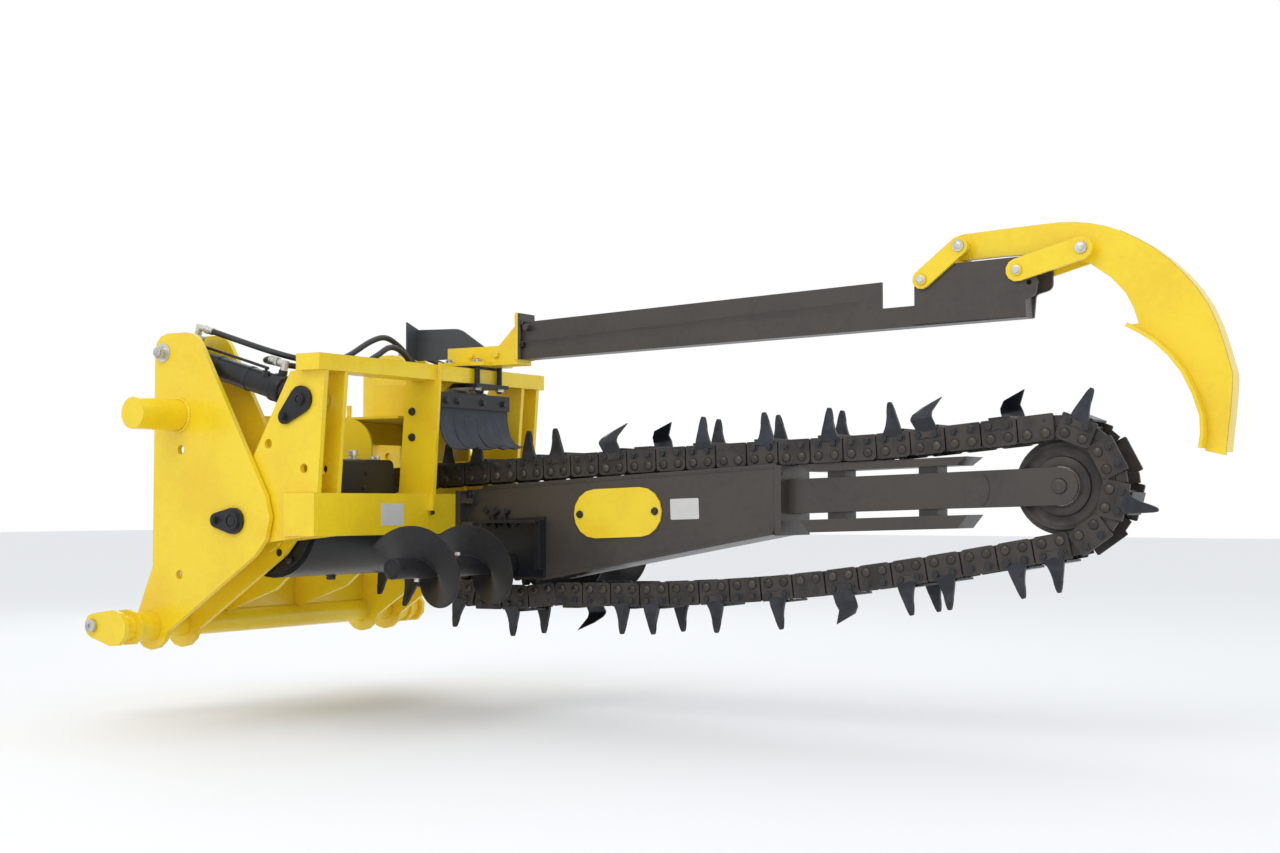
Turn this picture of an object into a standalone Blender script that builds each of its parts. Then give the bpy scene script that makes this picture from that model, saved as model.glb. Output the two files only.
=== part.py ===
"""Tractor-mounted chain trencher.

The hitch frame hangs on the tractor's three-point linkage and carries the gearbox and head shaft.
The swing frame turns about the same axis as the head shaft and carries the boom with its digging
chain, the two spoil augers and the trench cleaner. Axes: +X to the rear, +Y to the machine's right,
+Z up. The origin is the centre of the front face of the power take-off shaft, in metres.
"""

import math

import bmesh
import bpy
from mathutils import Matrix, Vector

# ---------------------------------------------------------------- driving dimensions
SEAT = 0.0003  # gap kept between pieces that rest on each other
PLATE = 0.016  # thickness of the frame plates
HALF_WIDTH = 0.550  # centre plane to the outer face of the hitch frame
RUN_GAP = 0.004  # side clearance between the hitch plates and the swing plates
BAY = 0.068  # clear width between the two swing plates of one side
PIVOT = (0.261, 0.049)  # x, z of the swing axis, which is also the head shaft's axis
PIVOT_PIN_R = 0.030
KEEPER = 0.010  # thickness of the teardrop keepers on the pins
CYLINDER_PIN_R = 0.019
CYLINDER_TOP = (-0.041, 0.555)
CYLINDER_ROD_PIN = (0.501, 0.398)
BARREL_R = 0.0365
BARREL_WALL = 0.0045
BARREL_LENGTH = 0.449
ROD_R = 0.020
ROD_START = 0.075  # along the cylinder, from the top pin to the rod's inner end
HOSE_R = 0.009

HITCH_TUBE = (-0.079, -0.268)
HITCH_TUBE_R = 0.038
HITCH_SLEEVE_R = 0.044
HITCH_REACH = HALF_WIDTH + 0.147  # centre plane to the outer face of the outer lower-link ear
HITCH_EAR_GAP = 0.041
HITCH_PIN = (-0.165, -0.262)
HITCH_PIN_R = 0.014
STUB = (0.023, 0.364)
STUB_R = 0.047
STUB_REACH = HALF_WIDTH + 0.176

TOP_BEAM = (0.500, 0.590, 0.480, 0.528)  # x and z limits
LOW_BEAM = (0.445, 0.564, 0.006, 0.130)
BEAM_WALL = 0.006
POST_Y = -0.030

DRUM_R = 0.172
DRUM_WALL = 0.014
DRUM_FAR = 0.118
COVER = 0.0174
COVER_BOLT_R = 0.008
SHAFT_R = 0.025
PTO_SHAFT_R = 0.0175

BOOM_PLANE = 0.229  # y of the boom's, chain's and trench cleaner's centre
BOOM_WIDTH = 0.170
BOOM_START = 0.580
BOOM_LENGTH = 1.098
BOOM_WALL = 0.008
ARM_SHOWN = 0.552  # tension arm in front of the boom's end
STRAP_LENGTH = 0.258
ARM_HEIGHT = 0.098
ARM_WIDTH = 0.090
ARM_INSIDE = 0.320
NOSE_Z = 0.145
SLIDE_GAP = 0.0005

PITCH = 0.0508
CHAIN_WIDTH = 0.140
LINK_INSIDE = 0.0195  # pin line to the plates' edge inside the loop
LINK_OUTSIDE = 0.0515
SIDE_BAND = 0.018  # outer and inner plate of one side
BUSH_R = 0.011
HEAD_TEETH = 14
AUGER_TEETH = 11
NOSE_PIN_R = 0.140
CUTTER = 0.083  # cutter's reach beyond the plates
CUTTER_THICKNESS = 0.012

AUGER = (0.760, -0.085)
AUGER_R = 0.121
AUGER_SHAFT_R = 0.022
AUGER_SLEEVE_R = 0.0305
AUGER_LENGTH = 0.571
AUGER_PITCH = 0.260
FLIGHT = 0.008

BRACKET_X = (0.463, 0.743)
CRUMBER_Z = 0.553  # underside of the trench cleaner's arm at its root
CRUMBER_RISE = 0.043
CRUMBER_TUBE = 0.057
CRUMBER_WIDTH = 0.056
SIDE_PLATE = 0.008
LINK_PLATE = 0.010
LINK_PIN_R = 0.011
OPEN_PIVOT_GAP = 0.003  # free play at the linkage's open pivot
WEB = 0.016

# ---------------------------------------------------------------- values that follow from them
HEAD_PIN_R = PITCH / (2 * math.sin(math.pi / HEAD_TEETH))
AUGER_PIN_R = PITCH / (2 * math.sin(math.pi / AUGER_TEETH))
BOOM_END = BOOM_START + BOOM_LENGTH
NOSE = (BOOM_END + ARM_SHOWN + STRAP_LENGTH, NOSE_Z)
HALF_BOOM = BOOM_WIDTH / 2
HALF_CHAIN = CHAIN_WIDTH / 2
HITCH_OUT = (HALF_WIDTH - PLATE, HALF_WIDTH)
SWING_OUT = (HITCH_OUT[0] - RUN_GAP - PLATE, HITCH_OUT[0] - RUN_GAP)
SWING_IN = (SWING_OUT[0] - BAY - PLATE, SWING_OUT[0] - BAY)
HITCH_IN = (SWING_IN[0] - RUN_GAP - PLATE, SWING_IN[0] - RUN_GAP)
CYLINDER_Y = (SWING_IN[1] + SWING_OUT[0]) / 2
NOSE_SHIFT = NOSE[0] - 2.488  # what the trench cleaner follows when the boom's length is changed

SIDES = {"left": -1, "right": 1}
YELLOW = ("machine_yellow", (0.86, 0.62, 0.01), 0.38, 0.0)
BLACK = ("satin_black", (0.028, 0.028, 0.030), 0.45, 0.0)
GREY = ("guard_grey", (0.06, 0.065, 0.075), 0.50, 0.0)
ZINC = ("zinc_bright", (0.62, 0.62, 0.60), 0.32, 1.0)
STEEL = ("chain_steel", (0.10, 0.085, 0.075), 0.46, 0.8)
CHROME = ("rod_chrome", (0.80, 0.81, 0.82), 0.12, 1.0)
RUBBER = ("rubber_black", (0.020, 0.021, 0.024), 0.70, 0.0)


# ---------------------------------------------------------------- outlines
def arc(centre, radius, start, end, steps):
    """Points on a circle, angles in degrees."""
    angles = [math.radians(start + (end - start) * i / steps) for i in range(steps + 1)]
    return [(centre[0] + radius * math.cos(a), centre[1] + radius * math.sin(a)) for a in angles]


def rounded(corners, steps=5):
    """An outline through corners (a, b) or (a, b, radius); a radius turns the corner into an arc."""
    points = []
    for i, corner in enumerate(corners):
        here = Vector(corner[:2])
        if len(corner) == 2:
            points.append(tuple(here))
            continue
        before = Vector(corners[i - 1][:2]) - here
        after = Vector(corners[(i + 1) % len(corners)][:2]) - here
        half = before.angle(after) / 2
        reach = min(corner[2] / math.tan(half), 0.49 * before.length, 0.49 * after.length)
        radius = reach * math.tan(half)
        before.normalize()
        after.normalize()
        centre = here + (before + after).normalized() * radius / math.sin(half)
        first = here + before * reach - centre
        last = here + after * reach - centre
        start = math.degrees(math.atan2(first.y, first.x))
        turn = (math.degrees(math.atan2(last.y, last.x)) - start + 180) % 360 - 180
        points += arc(centre, radius, start, start + turn, steps)
    return points


def teardrop(big, big_r, small, small_r, steps=8):
    """The outline around two circles of different or equal size."""
    along = Vector(small) - Vector(big)
    heading = math.degrees(math.atan2(along.y, along.x))
    lean = math.degrees(math.acos((big_r - small_r) / along.length))
    return arc(big, big_r, heading + lean, heading + 360 - lean, steps) + arc(
        small, small_r, heading - lean, heading + lean, steps
    )


def smooth(points, steps=4):
    """A Catmull-Rom curve through points of any dimension."""
    ends = [Vector(p) for p in points]
    ends = [2 * ends[0] - ends[1], *ends, 2 * ends[-1] - ends[-2]]
    curve = []
    for a, b, c, d in zip(ends, ends[1:], ends[2:], ends[3:]):
        for i in range(steps):
            t = i / steps
            bend = (2 * a - 5 * b + 4 * c - d) * t**2
            twist = (3 * b - 3 * c + d - a) * t**3
            curve.append(0.5 * (2 * b + (c - a) * t + bend + twist))
    return [tuple(p) for p in [*curve, ends[-2]]]


def band(line, below, above):
    """The outline of a strip along an open line of points, from `below` to `above` it."""
    points = [Vector(p) for p in line]
    low = []
    high = []
    for i, point in enumerate(points):
        run = points[min(i + 1, len(points) - 1)] - points[max(i - 1, 0)]
        normal = Vector((-run.y, run.x)).normalized()
        low.append(tuple(point + normal * below))
        high.append(tuple(point + normal * above))
    return low + high[::-1]


# ---------------------------------------------------------------- solids
def finished(bm):
    """The bmesh with its faces turned outwards."""
    bmesh.ops.recalc_face_normals(bm, faces=bm.faces)
    return bm


def prism(outline, low, high, axis="Y"):
    """An outline carried from low to high: (x, z) along Y, (y, z) along X or (x, y) along Z."""
    place = {
        "Y": lambda a, b, h: (a, h, b),
        "X": lambda a, b, h: (h, a, b),
        "Z": lambda a, b, h: (a, b, h),
    }[axis]
    bm = bmesh.new()
    first = [bm.verts.new(place(a, b, low)) for a, b in outline]
    last = [bm.verts.new(place(a, b, high)) for a, b in outline]
    for i in range(len(outline)):
        j = (i + 1) % len(outline)
        bm.faces.new((first[i], first[j], last[j], last[i]))
    bm.faces.new(first)
    bm.faces.new(last)
    return finished(bm)


def box(x, y, z):
    """A box from three (low, high) pairs."""
    return prism([(x[0], z[0]), (x[1], z[0]), (x[1], z[1]), (x[0], z[1])], y[0], y[1])


def bar(start, end, radius, sides=16):
    """A round bar between two points."""
    start = Vector(start)
    along = Vector(end) - start
    bm = bmesh.new()
    bmesh.ops.create_cone(
        bm, cap_ends=True, segments=sides, radius1=radius, radius2=radius, depth=along.length
    )
    bm.transform(along.to_track_quat("Z", "Y").to_matrix().to_4x4())
    bmesh.ops.translate(bm, verts=bm.verts, vec=start + along / 2)
    return finished(bm)


def cross_bar(place, low, high, radius, sides=16):
    """A round bar along Y at place = (x, z)."""
    return bar((place[0], low, place[1]), (place[0], high, place[1]), radius, sides)


def hole(place, low, high, radius, sides=16):
    """A cutter for a round hole along Y; its flats stay SEAT clear of a pin of this radius."""
    return cross_bar(place, low, high, (radius + SEAT) / math.cos(math.pi / sides), sides)


def turned(profile, place, sides=32, bored=False):
    """Profile points (radius, y) turned about the Y line at place = (x, z)."""
    bm = bmesh.new()
    rings = []
    for radius, y in profile:
        angles = [2 * math.pi * i / sides for i in range(sides)]
        ring = [(place[0] + radius * math.cos(a), y, place[1] + radius * math.sin(a)) for a in angles]
        rings.append([bm.verts.new(p) for p in ring])
    pairs = list(zip(rings, rings[1:]))
    if bored:
        pairs.append((rings[-1], rings[0]))
    for a, b in pairs:
        for i in range(sides):
            j = (i + 1) % sides
            bm.faces.new((a[i], a[j], b[j], b[i]))
    if not bored:
        bm.faces.new(rings[0])
        bm.faces.new(rings[-1])
    return finished(bm)


def toothed(place, root, tip, teeth, low, high):
    """A toothed disc about the Y line at place."""
    outline = []
    step = 360 / teeth
    for i in range(teeth):
        for turn, radius in ((-0.36, root), (-0.14, tip), (0.14, tip), (0.36, root)):
            a = math.radians((i + turn) * step)
            outline.append((place[0] + radius * math.cos(a), place[1] + radius * math.sin(a)))
    return prism(outline, low, high)


def temporary(bm):
    mesh = bpy.data.meshes.new("shape")
    bm.to_mesh(mesh)
    bm.free()
    made = bpy.data.objects.new("shape", mesh)
    bpy.context.collection.objects.link(made)
    made.hide_render = True
    made.display_type = "WIRE"
    return made


def finish_of(finish):
    name, colour, roughness, metallic = finish
    found = bpy.data.materials.get(name)
    if found:
        return found
    made = bpy.data.materials.new(name)
    made.use_nodes = True
    shader = made.node_tree.nodes["Principled BSDF"]
    shader.inputs["Base Color"].default_value = (*colour, 1.0)
    shader.inputs["Roughness"].default_value = roughness
    shader.inputs["Metallic"].default_value = metallic
    made.diffuse_color = (*colour, 1.0)
    return made


FRAMES = {}


def frame_at(name, place, y=0.0, above=None):
    """An empty on a joint's axis at place = (x, z), which the pieces of one body hang from."""
    empty = bpy.data.objects.new(f"{name}_axis", None)
    bpy.context.collection.objects.link(empty)
    at = Vector((place[0], y, place[1]))
    if above:
        empty.parent, parent_at = FRAMES[above]
        empty.location = at - parent_at
    else:
        empty.location = at
    FRAMES[name] = (empty, at)


def piece(name, finish, frame, adds, cuts=()):
    """One named closed body: the adds joined, then the cuts taken away, hung on its body's empty."""
    base = temporary(adds[0])
    helpers = []
    for operation, shapes in (("UNION", adds[1:]), ("DIFFERENCE", cuts)):
        for shape in shapes:
            other = temporary(shape)
            helpers.append(other)
            modifier = base.modifiers.new(operation.lower(), "BOOLEAN")
            modifier.operation = operation
            modifier.object = other
            modifier.solver = "EXACT"
    bpy.context.view_layer.update()
    graph = bpy.context.evaluated_depsgraph_get()
    mesh = bpy.data.meshes.new_from_object(base.evaluated_get(graph))
    for helper in [base, *helpers]:
        bpy.data.objects.remove(helper)
    empty, at = FRAMES[frame]
    mesh.transform(Matrix.Translation(-at))
    mesh.materials.clear()
    mesh.materials.append(finish_of(finish))
    mesh.shade_smooth()
    mesh.set_sharp_from_angle(angle=math.radians(32))
    made = bpy.data.objects.new(name, mesh)
    bpy.context.collection.objects.link(made)
    made.parent = empty
    return made


def mirrored(side, low, high):
    """A (low, high) pair of distances from the centre plane, as y limits on that side."""
    return (low, high) if side > 0 else (-high, -low)


# ---------------------------------------------------------------- hitch frame
HITCH_OUTLINE = [
    (-0.075, -0.090),
    (-0.075, 0.612, 0.050),
    (0.095, 0.612, 0.070),
    (0.444, 0.016, 0.132),
    (-0.035, -0.300),
    (-0.130, -0.217),
]
HITCH_HOLES = ((0.038, 0.261), (0.038, -0.112))
HOLE_R = 0.013


def make_hitch_frame():
    """The two pairs of side plates with the cross tube, lower-link ears, stubs and top-link lugs."""
    outline = rounded(HITCH_OUTLINE, 3)
    ears = (HITCH_REACH - PLATE, HITCH_REACH - 2 * PLATE - HITCH_EAR_GAP)
    adds = [cross_bar(HITCH_TUBE, -HITCH_REACH + 0.002, HITCH_REACH - 0.002, HITCH_TUBE_R, 14)]
    cuts = []
    for side in SIDES.values():
        for low, high in (HITCH_OUT, HITCH_IN):
            low, high = mirrored(side, low, high)
            adds.append(prism(outline, low, high))
            adds.append(cross_bar(HITCH_TUBE, low + 0.0005, high - 0.0005, 0.072, 14))
            for at, radius in (
                (PIVOT, PIVOT_PIN_R),
                (CYLINDER_TOP, CYLINDER_PIN_R),
                (HITCH_HOLES[0], HOLE_R),
                (HITCH_HOLES[1], HOLE_R),
            ):
                cuts.append(hole(at, low - 0.003, high + 0.003, radius, 10))
        adds.append(
            cross_bar(HITCH_TUBE, *mirrored(side, HALF_WIDTH - 0.004, ears[1] + 0.004), HITCH_SLEEVE_R, 14)
        )
        adds.append(cross_bar(STUB, *mirrored(side, HALF_WIDTH - 0.008, STUB_REACH), STUB_R, 16))
        for ear in ears:
            low, high = mirrored(side, ear, ear + PLATE)
            adds.append(prism(teardrop(HITCH_TUBE, 0.054, HITCH_PIN, 0.036, 5), low, high))
            cuts.append(hole(HITCH_PIN, low - 0.003, high + 0.003, HITCH_PIN_R, 10))
    inside = HITCH_IN[0] + 0.004
    adds.append(box((-0.087, -0.071), (-inside, inside), (-0.240, -0.120)))
    adds.append(box((-0.065, -0.005), (-inside, inside), (0.300, 0.380)))
    for y in (-0.051, 0.035):
        adds.append(
            prism(
                rounded([(-0.150, 0.300, 0.03), (-0.150, 0.380, 0.03), (-0.060, 0.380), (-0.060, 0.300)]),
                y,
                y + PLATE,
            )
        )
        cuts.append(cross_bar((-0.118, 0.340), y - 0.003, y + PLATE + 0.003, 0.0128, 14))
    for y in (-0.260, 0.068):
        cradle = [
            (-0.079, -0.245), (0.150, -0.165), (0.230, -0.100), (0.100, 0.000), (0.060, 0.000),
            (-0.079, -0.130),
        ]
        adds.append(prism(cradle, y, y + PLATE))
    cuts.append(cross_bar(PIVOT, -0.340, 0.100, DRUM_R + SEAT, 32))
    piece("hitch_frame", YELLOW, "hitch", adds, cuts)


def make_pins():
    """The pins of the lower links, the swing axis and both ends of the lift cylinders."""
    for name, side in SIDES.items():
        outer = HITCH_OUT[1] + SEAT
        ear = HITCH_REACH - 2 * PLATE - HITCH_EAR_GAP
        head = mirrored(side, HITCH_REACH + SEAT, HITCH_REACH + 0.012)
        piece(
            f"{name}_lower_hitch_pin",
            ZINC,
            "hitch",
            [
                cross_bar(HITCH_PIN, *mirrored(side, ear - 0.010, HITCH_REACH + 0.006), HITCH_PIN_R, 12),
                cross_bar(HITCH_PIN, *head, 0.020, 12),
            ],
        )
        keeper_at = (PIVOT[0] - 0.069, PIVOT[1] + 0.002)
        piece(
            f"{name}_pivot_pin",
            BLACK,
            "hitch",
            [
                cross_bar(
                    PIVOT,
                    *mirrored(side, HITCH_IN[0] + 0.001, outer + KEEPER + 0.004),
                    PIVOT_PIN_R,
                    12,
                ),
                prism(teardrop(PIVOT, 0.039, keeper_at, 0.021), *mirrored(side, outer, outer + KEEPER)),
                cross_bar(keeper_at, *mirrored(side, outer + 0.001, outer + KEEPER + 0.010), 0.012, 6),
            ],
        )
        piece(
            f"{name}_cylinder_top_pin",
            ZINC,
            "hitch",
            [
                cross_bar(
                    CYLINDER_TOP, *mirrored(side, HITCH_IN[0] + 0.001, outer + 0.018),
                    CYLINDER_PIN_R, 12,
                ),
                cross_bar(CYLINDER_TOP, *mirrored(side, outer, outer + 0.004), 0.024, 14),
            ],
        )
        rod_outer = SWING_OUT[1] + SEAT
        keeper_at = (CYLINDER_ROD_PIN[0] - 0.061, CYLINDER_ROD_PIN[1] - 0.048)
        piece(
            f"{name}_cylinder_rod_pin",
            BLACK,
            "swing",
            [
                cross_bar(
                    CYLINDER_ROD_PIN,
                    *mirrored(side, SWING_IN[0] + 0.001, rod_outer + KEEPER + 0.004),
                    CYLINDER_PIN_R,
                    12
                ),
                prism(
                    teardrop(CYLINDER_ROD_PIN, 0.040, keeper_at, 0.022),
                    *mirrored(side, rod_outer, rod_outer + KEEPER),
                ),
                cross_bar(
                    keeper_at,
                    *mirrored(side, rod_outer + 0.001, rod_outer + KEEPER + 0.010),
                    0.011,
                    6,
                ),
            ],
        )


# ---------------------------------------------------------------- gearbox and drive
CASE = (0.215, 0.438, -0.330, -0.044, 0.235)  # x, y limits and top of the upper case
PTO_NOSE_R = 0.055
PTO_Z = 0.0


def make_gearbox():
    """The gearbox with its covers, bearings, input shaft, head shaft, crown wheel and sprocket."""
    near = -(HITCH_IN[0] - SEAT - 0.009 - COVER)
    inner = DRUM_R - DRUM_WALL
    case = rounded(
        [(CASE[0], 0.050), (CASE[0], CASE[4], 0.018), (CASE[1], CASE[4], 0.018), (CASE[1], 0.050)],
        3,
    )
    piece(
        "gearbox_housing",
        BLACK,
        "hitch",
        [
            cross_bar(PIVOT, near, DRUM_FAR, DRUM_R, 32),
            prism(case, CASE[2], CASE[3]),
            bar((0.030, 0, PTO_Z), (0.150, 0, PTO_Z), PTO_NOSE_R, 20),
        ],
        [
            cross_bar(PIVOT, near - 0.010, DRUM_FAR - 0.018, inner, 20),
            cross_bar(PIVOT, DRUM_FAR - 0.030, DRUM_FAR + 0.010, 0.045, 20),
            bar((0.020, 0, PTO_Z), (0.160, 0, PTO_Z), (PTO_SHAFT_R + SEAT) / math.cos(math.pi / 14), 14),
        ],
    )
    bolts = [
        cross_bar(at, near - COVER - 0.009, near - COVER + 0.002, COVER_BOLT_R, 6)
        for at in arc(PIVOT, 0.110, 30, 330, 5)
    ]
    piece(
        "gearbox_cover",
        BLACK,
        "hitch",
        [cross_bar(PIVOT, near - COVER, near - SEAT, DRUM_R - 0.012, 32), *bolts],
        [hole(PIVOT, near - COVER - 0.010, near + 0.010, SHAFT_R, 20)],
    )
    cap = (0.360, -0.145)
    piece(
        "breather_cap",
        ZINC,
        "hitch",
        [
            bar((*cap, CASE[4] + SEAT), (*cap, CASE[4] + 0.014), 0.010, 8),
            bar((*cap, CASE[4] + 0.013), (*cap, CASE[4] + 0.028), 0.014, 12),
        ],
    )
    bore = (SHAFT_R + SEAT) / math.cos(math.pi / 20)
    piece(
        "head_bearing_inner",
        STEEL,
        "hitch",
        [
            turned(
                [
                    (0.0447, DRUM_FAR - 0.0177), (0.0447, DRUM_FAR - SEAT), (bore, DRUM_FAR - SEAT),
                    (bore, DRUM_FAR - 0.0177),
                ],
                PIVOT, 20, bored=True,
            )
        ],
    )
    flange = HITCH_IN[0] - SEAT
    piece(
        "head_bearing_outer",
        BLACK,
        "hitch",
        [
            turned(
                [
                    (0.060, flange - 0.010), (0.060, flange), (bore, flange),
                    (bore, flange - 0.030), (0.042, flange - 0.030), (0.042, flange - 0.010),
                ],
                PIVOT, 20, bored=True,
            )
        ],
    )
    piece(
        "head_shaft",
        STEEL,
        "head_shaft",
        [cross_bar(PIVOT, near - COVER + 0.002, HITCH_IN[0] - 0.004, SHAFT_R, 20)]
    )
    crown = 0.044
    piece(
        "crown_wheel",
        STEEL,
        "head_shaft",
        [
            toothed(PIVOT, 0.100, 0.110, 15, crown, crown + 0.020),
            cross_bar(PIVOT, crown, crown + 0.035, 0.050, 14),
        ],
        [cross_bar(PIVOT, crown - 0.010, crown + 0.050, SHAFT_R + SEAT, 20)],
    )
    piece(
        "pto_input_shaft",
        STEEL,
        "pto_input",
        [
            bar((0, 0, PTO_Z), (0.180, 0, PTO_Z), PTO_SHAFT_R, 12),
            bar((0.160, 0, PTO_Z), (0.205, 0, PTO_Z), 0.040, 8),
        ],
    )
    width = 0.011
    hub = 0.035
    piece(
        "drive_sprocket",
        STEEL,
        "head_shaft",
        [
            toothed(
                PIVOT, 0.086, HEAD_PIN_R - BUSH_R - 0.001, HEAD_TEETH, BOOM_PLANE - width,
                BOOM_PLANE + width,
            ),
            cross_bar(PIVOT, BOOM_PLANE - hub, BOOM_PLANE + hub, 0.046, 20),
        ],
        [cross_bar(PIVOT, BOOM_PLANE - 0.060, BOOM_PLANE + 0.060, SHAFT_R + SEAT, 20)],
    )


# ---------------------------------------------------------------- swing frame
SWING_HOLES = ((0.372, 0.273), (0.510, 0.200))


def make_swing_frame():
    """The swing plates with the upper and lower beams, the post and the cylinder lugs."""
    top = TOP_BEAM[2] + 0.002
    outline = [
        (0.482, top), (0.456, top), (0.300, 0.215, 0.06), (0.172, 0.094), (0.200, -0.030),
        (LOW_BEAM[1] - 0.002, LOW_BEAM[2] + 0.001), (LOW_BEAM[1] - 0.002, LOW_BEAM[3] - 0.002),
        (0.588, top),
    ]
    outline = rounded(outline)
    reach = SWING_OUT[1] + 0.015
    adds = [
        box(LOW_BEAM[:2], (-reach, reach), LOW_BEAM[2:]),
        box(TOP_BEAM[:2], (-HALF_WIDTH - 0.006, HALF_WIDTH + 0.006), TOP_BEAM[2:]),
    ]
    cuts = []
    for side in SIDES.values():
        for low, high in (SWING_OUT, SWING_IN):
            low, high = mirrored(side, low, high)
            adds.append(prism(outline, low, high))
            adds.append(cross_bar(PIVOT, low + 0.0005, high - 0.0005, 0.100, 18))
            for at, radius in (
                (PIVOT, PIVOT_PIN_R),
                (CYLINDER_ROD_PIN, CYLINDER_PIN_R),
                (SWING_HOLES[0], HOLE_R),
                (SWING_HOLES[1], HOLE_R),
            ):
                cuts.append(hole(at, low - 0.003, high + 0.003, radius, 10))
    post = [
        (LOW_BEAM[0] + 0.002, LOW_BEAM[3] - 0.002), (LOW_BEAM[0] + 0.030, top), (TOP_BEAM[1] + 0.010, top),
        (TOP_BEAM[1] + 0.010, TOP_BEAM[3] + 0.006), (TOP_BEAM[1] + 0.018, TOP_BEAM[3] + 0.006),
        (LOW_BEAM[1] + 0.018, 0.078), (LOW_BEAM[1] - 0.002, 0.078),
        (LOW_BEAM[1] - 0.002, LOW_BEAM[3] - 0.002),
    ]
    adds.append(prism(post, POST_Y, POST_Y + 0.012))
    for z in (0.385, 0.305):
        cuts.append(cross_bar((0.500, z), POST_Y - 0.003, POST_Y + 0.015, 0.009, 12))
    for x_low, x_high, z_low, z_high, end in (
        (*LOW_BEAM, SWING_IN[0] - 0.010), (*TOP_BEAM, HALF_WIDTH - 0.002),
    ):
        cuts.append(
            box(
                (x_low + BEAM_WALL, x_high - BEAM_WALL), (-end, end),
                (z_low + BEAM_WALL, z_high - BEAM_WALL),
            )
        )
    cuts.append(
        box((LOW_BEAM[0] + 0.030, LOW_BEAM[1] - 0.030), (-0.060, 0.060), (LOW_BEAM[2] - 0.010, 0.030))
    )
    cuts.append(
        box(
            (TOP_BEAM[0] - 0.010, TOP_BEAM[0] + 0.020), (-0.050, 0.050),
            (TOP_BEAM[2] + 0.014, TOP_BEAM[3] - 0.014),
        )
    )
    piece("swing_frame", YELLOW, "swing", adds, cuts)


HOOD_TOP = 0.366
HOOD = (0.150, 0.440)
HOOD_SHEET = 0.008


def make_hood():
    """The hood over the drive sprocket and the guard beside the hoses."""
    near = POST_Y + 0.002
    far = BOOM_PLANE + HALF_CHAIN + 0.046
    panel = BOOM_PLANE - HALF_CHAIN - 0.070
    round_guard = [
        (HOOD[0] - 0.040, 0.175), (HOOD[0] - 0.040, HOOD_TOP + 0.004),
        (0.333, HOOD_TOP + 0.004, 0.130), (0.333, 0.175),
    ]
    piece(
        "sprocket_hood",
        YELLOW,
        "swing",
        [
            box(HOOD, (near, far), (HOOD_TOP, HOOD_TOP + HOOD_SHEET)),
            prism(rounded(round_guard, 8), near, near + HOOD_SHEET),
            prism(
                [
                    (0.245, HOOD_TOP + 0.002), (0.438, HOOD_TOP + 0.002),
                    (0.560, TOP_BEAM[2] - SEAT), (0.245, TOP_BEAM[2] - SEAT),
                ],
                panel, panel + HOOD_SHEET,
            ),
            box(HOOD, (far - HOOD_SHEET, far), (0.240, HOOD_TOP + 0.004)),
            box((HOOD[0], HOOD[0] + HOOD_SHEET), (near, far), (0.295, HOOD_TOP + 0.004)),
            bar((0.200, 0.020, HOOD_TOP), (0.200, 0.020, HOOD_TOP + 0.048), 0.008, 10),
        ],
        [cross_bar(PIVOT, near - 0.01, near + 0.02, DRUM_R + 0.004, 32)],
    )
    guard = [
        (0.230, 0.578), (0.230, 0.683), (0.410, 0.678, 0.080), (0.530, 0.600), (0.530, TOP_BEAM[3] + SEAT),
        (TOP_BEAM[0] + 0.002, TOP_BEAM[3] + SEAT), (TOP_BEAM[0] + 0.002, 0.578),
    ]
    right = BOOM_PLANE + 0.103
    piece(
        "hose_guard",
        GREY,
        "swing",
        [
            prism(rounded(guard), right - 0.006, right),
            prism(
                [
                    (BOOM_PLANE + 0.038, 0.580), (BOOM_PLANE + 0.038, 0.704),
                    (right - 0.001, 0.682), (right - 0.001, 0.580),
                ],
                0.2305, 0.236, "X",
            ),
            box(
                (TOP_BEAM[0] + 0.003, 0.5295), (right - 0.020, right - 0.001),
                (TOP_BEAM[3] + SEAT, TOP_BEAM[3] + 0.006),
            ),
        ],
    )


FLAP_X = TOP_BEAM[1] + 0.004


def make_flap():
    """The bar under the upper beam and the slit rubber flap that hangs from it."""
    low = POST_Y + 0.012 + SEAT
    high = BOOM_PLANE + 0.116
    piece(
        "flap_bar",
        BLACK,
        "swing",
        [
            box((FLAP_X, FLAP_X + 0.006), (low, high), (0.398, 0.445)),
            box((TOP_BEAM[0] + 0.030, FLAP_X + 0.005), (low, high), (0.440, 0.446)),
            *[
                bar((FLAP_X + 0.004, y, 0.420), (FLAP_X + 0.014, y, 0.420), 0.009, 6)
                for y in (0.070, 0.200, 0.310)
            ],
        ],
    )
    x = FLAP_X - SEAT
    line = smooth(
        [
            (x - 0.0035, 0.432), (x - 0.0035, 0.360), (x + 0.008, 0.312), (x + 0.032, 0.280),
            (x + 0.060, 0.266),
        ],
        2,
    )
    slits = [
        box((x - 0.030, x + 0.100), (y - 0.001, y + 0.001), (0.240, 0.392))
        for y in [low + 0.004 + (high - low) * i / 6 for i in range(1, 6)]
    ]
    piece("rubber_flap", RUBBER, "swing", [prism(band(line, -0.003, 0.003), low + 0.004, high)], slits)


# ---------------------------------------------------------------- lift cylinders
TOP = Vector((CYLINDER_TOP[0], 0, CYLINDER_TOP[1]))
REACH = Vector((CYLINDER_ROD_PIN[0], 0, CYLINDER_ROD_PIN[1])) - TOP
ALONG = REACH.normalized()
RISE = Vector((-ALONG.z, 0, ALONG.x))
CAP_PORT = 0.055
ROD_PORT = BARREL_LENGTH - 0.024
# place, boss, elbow, heading
PORTS = {"cap": (CAP_PORT, 0.020, 0.062, 1), "rod": (ROD_PORT, 0.018, 0.038, -1)}
ELBOW_LEG = 0.026


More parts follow.
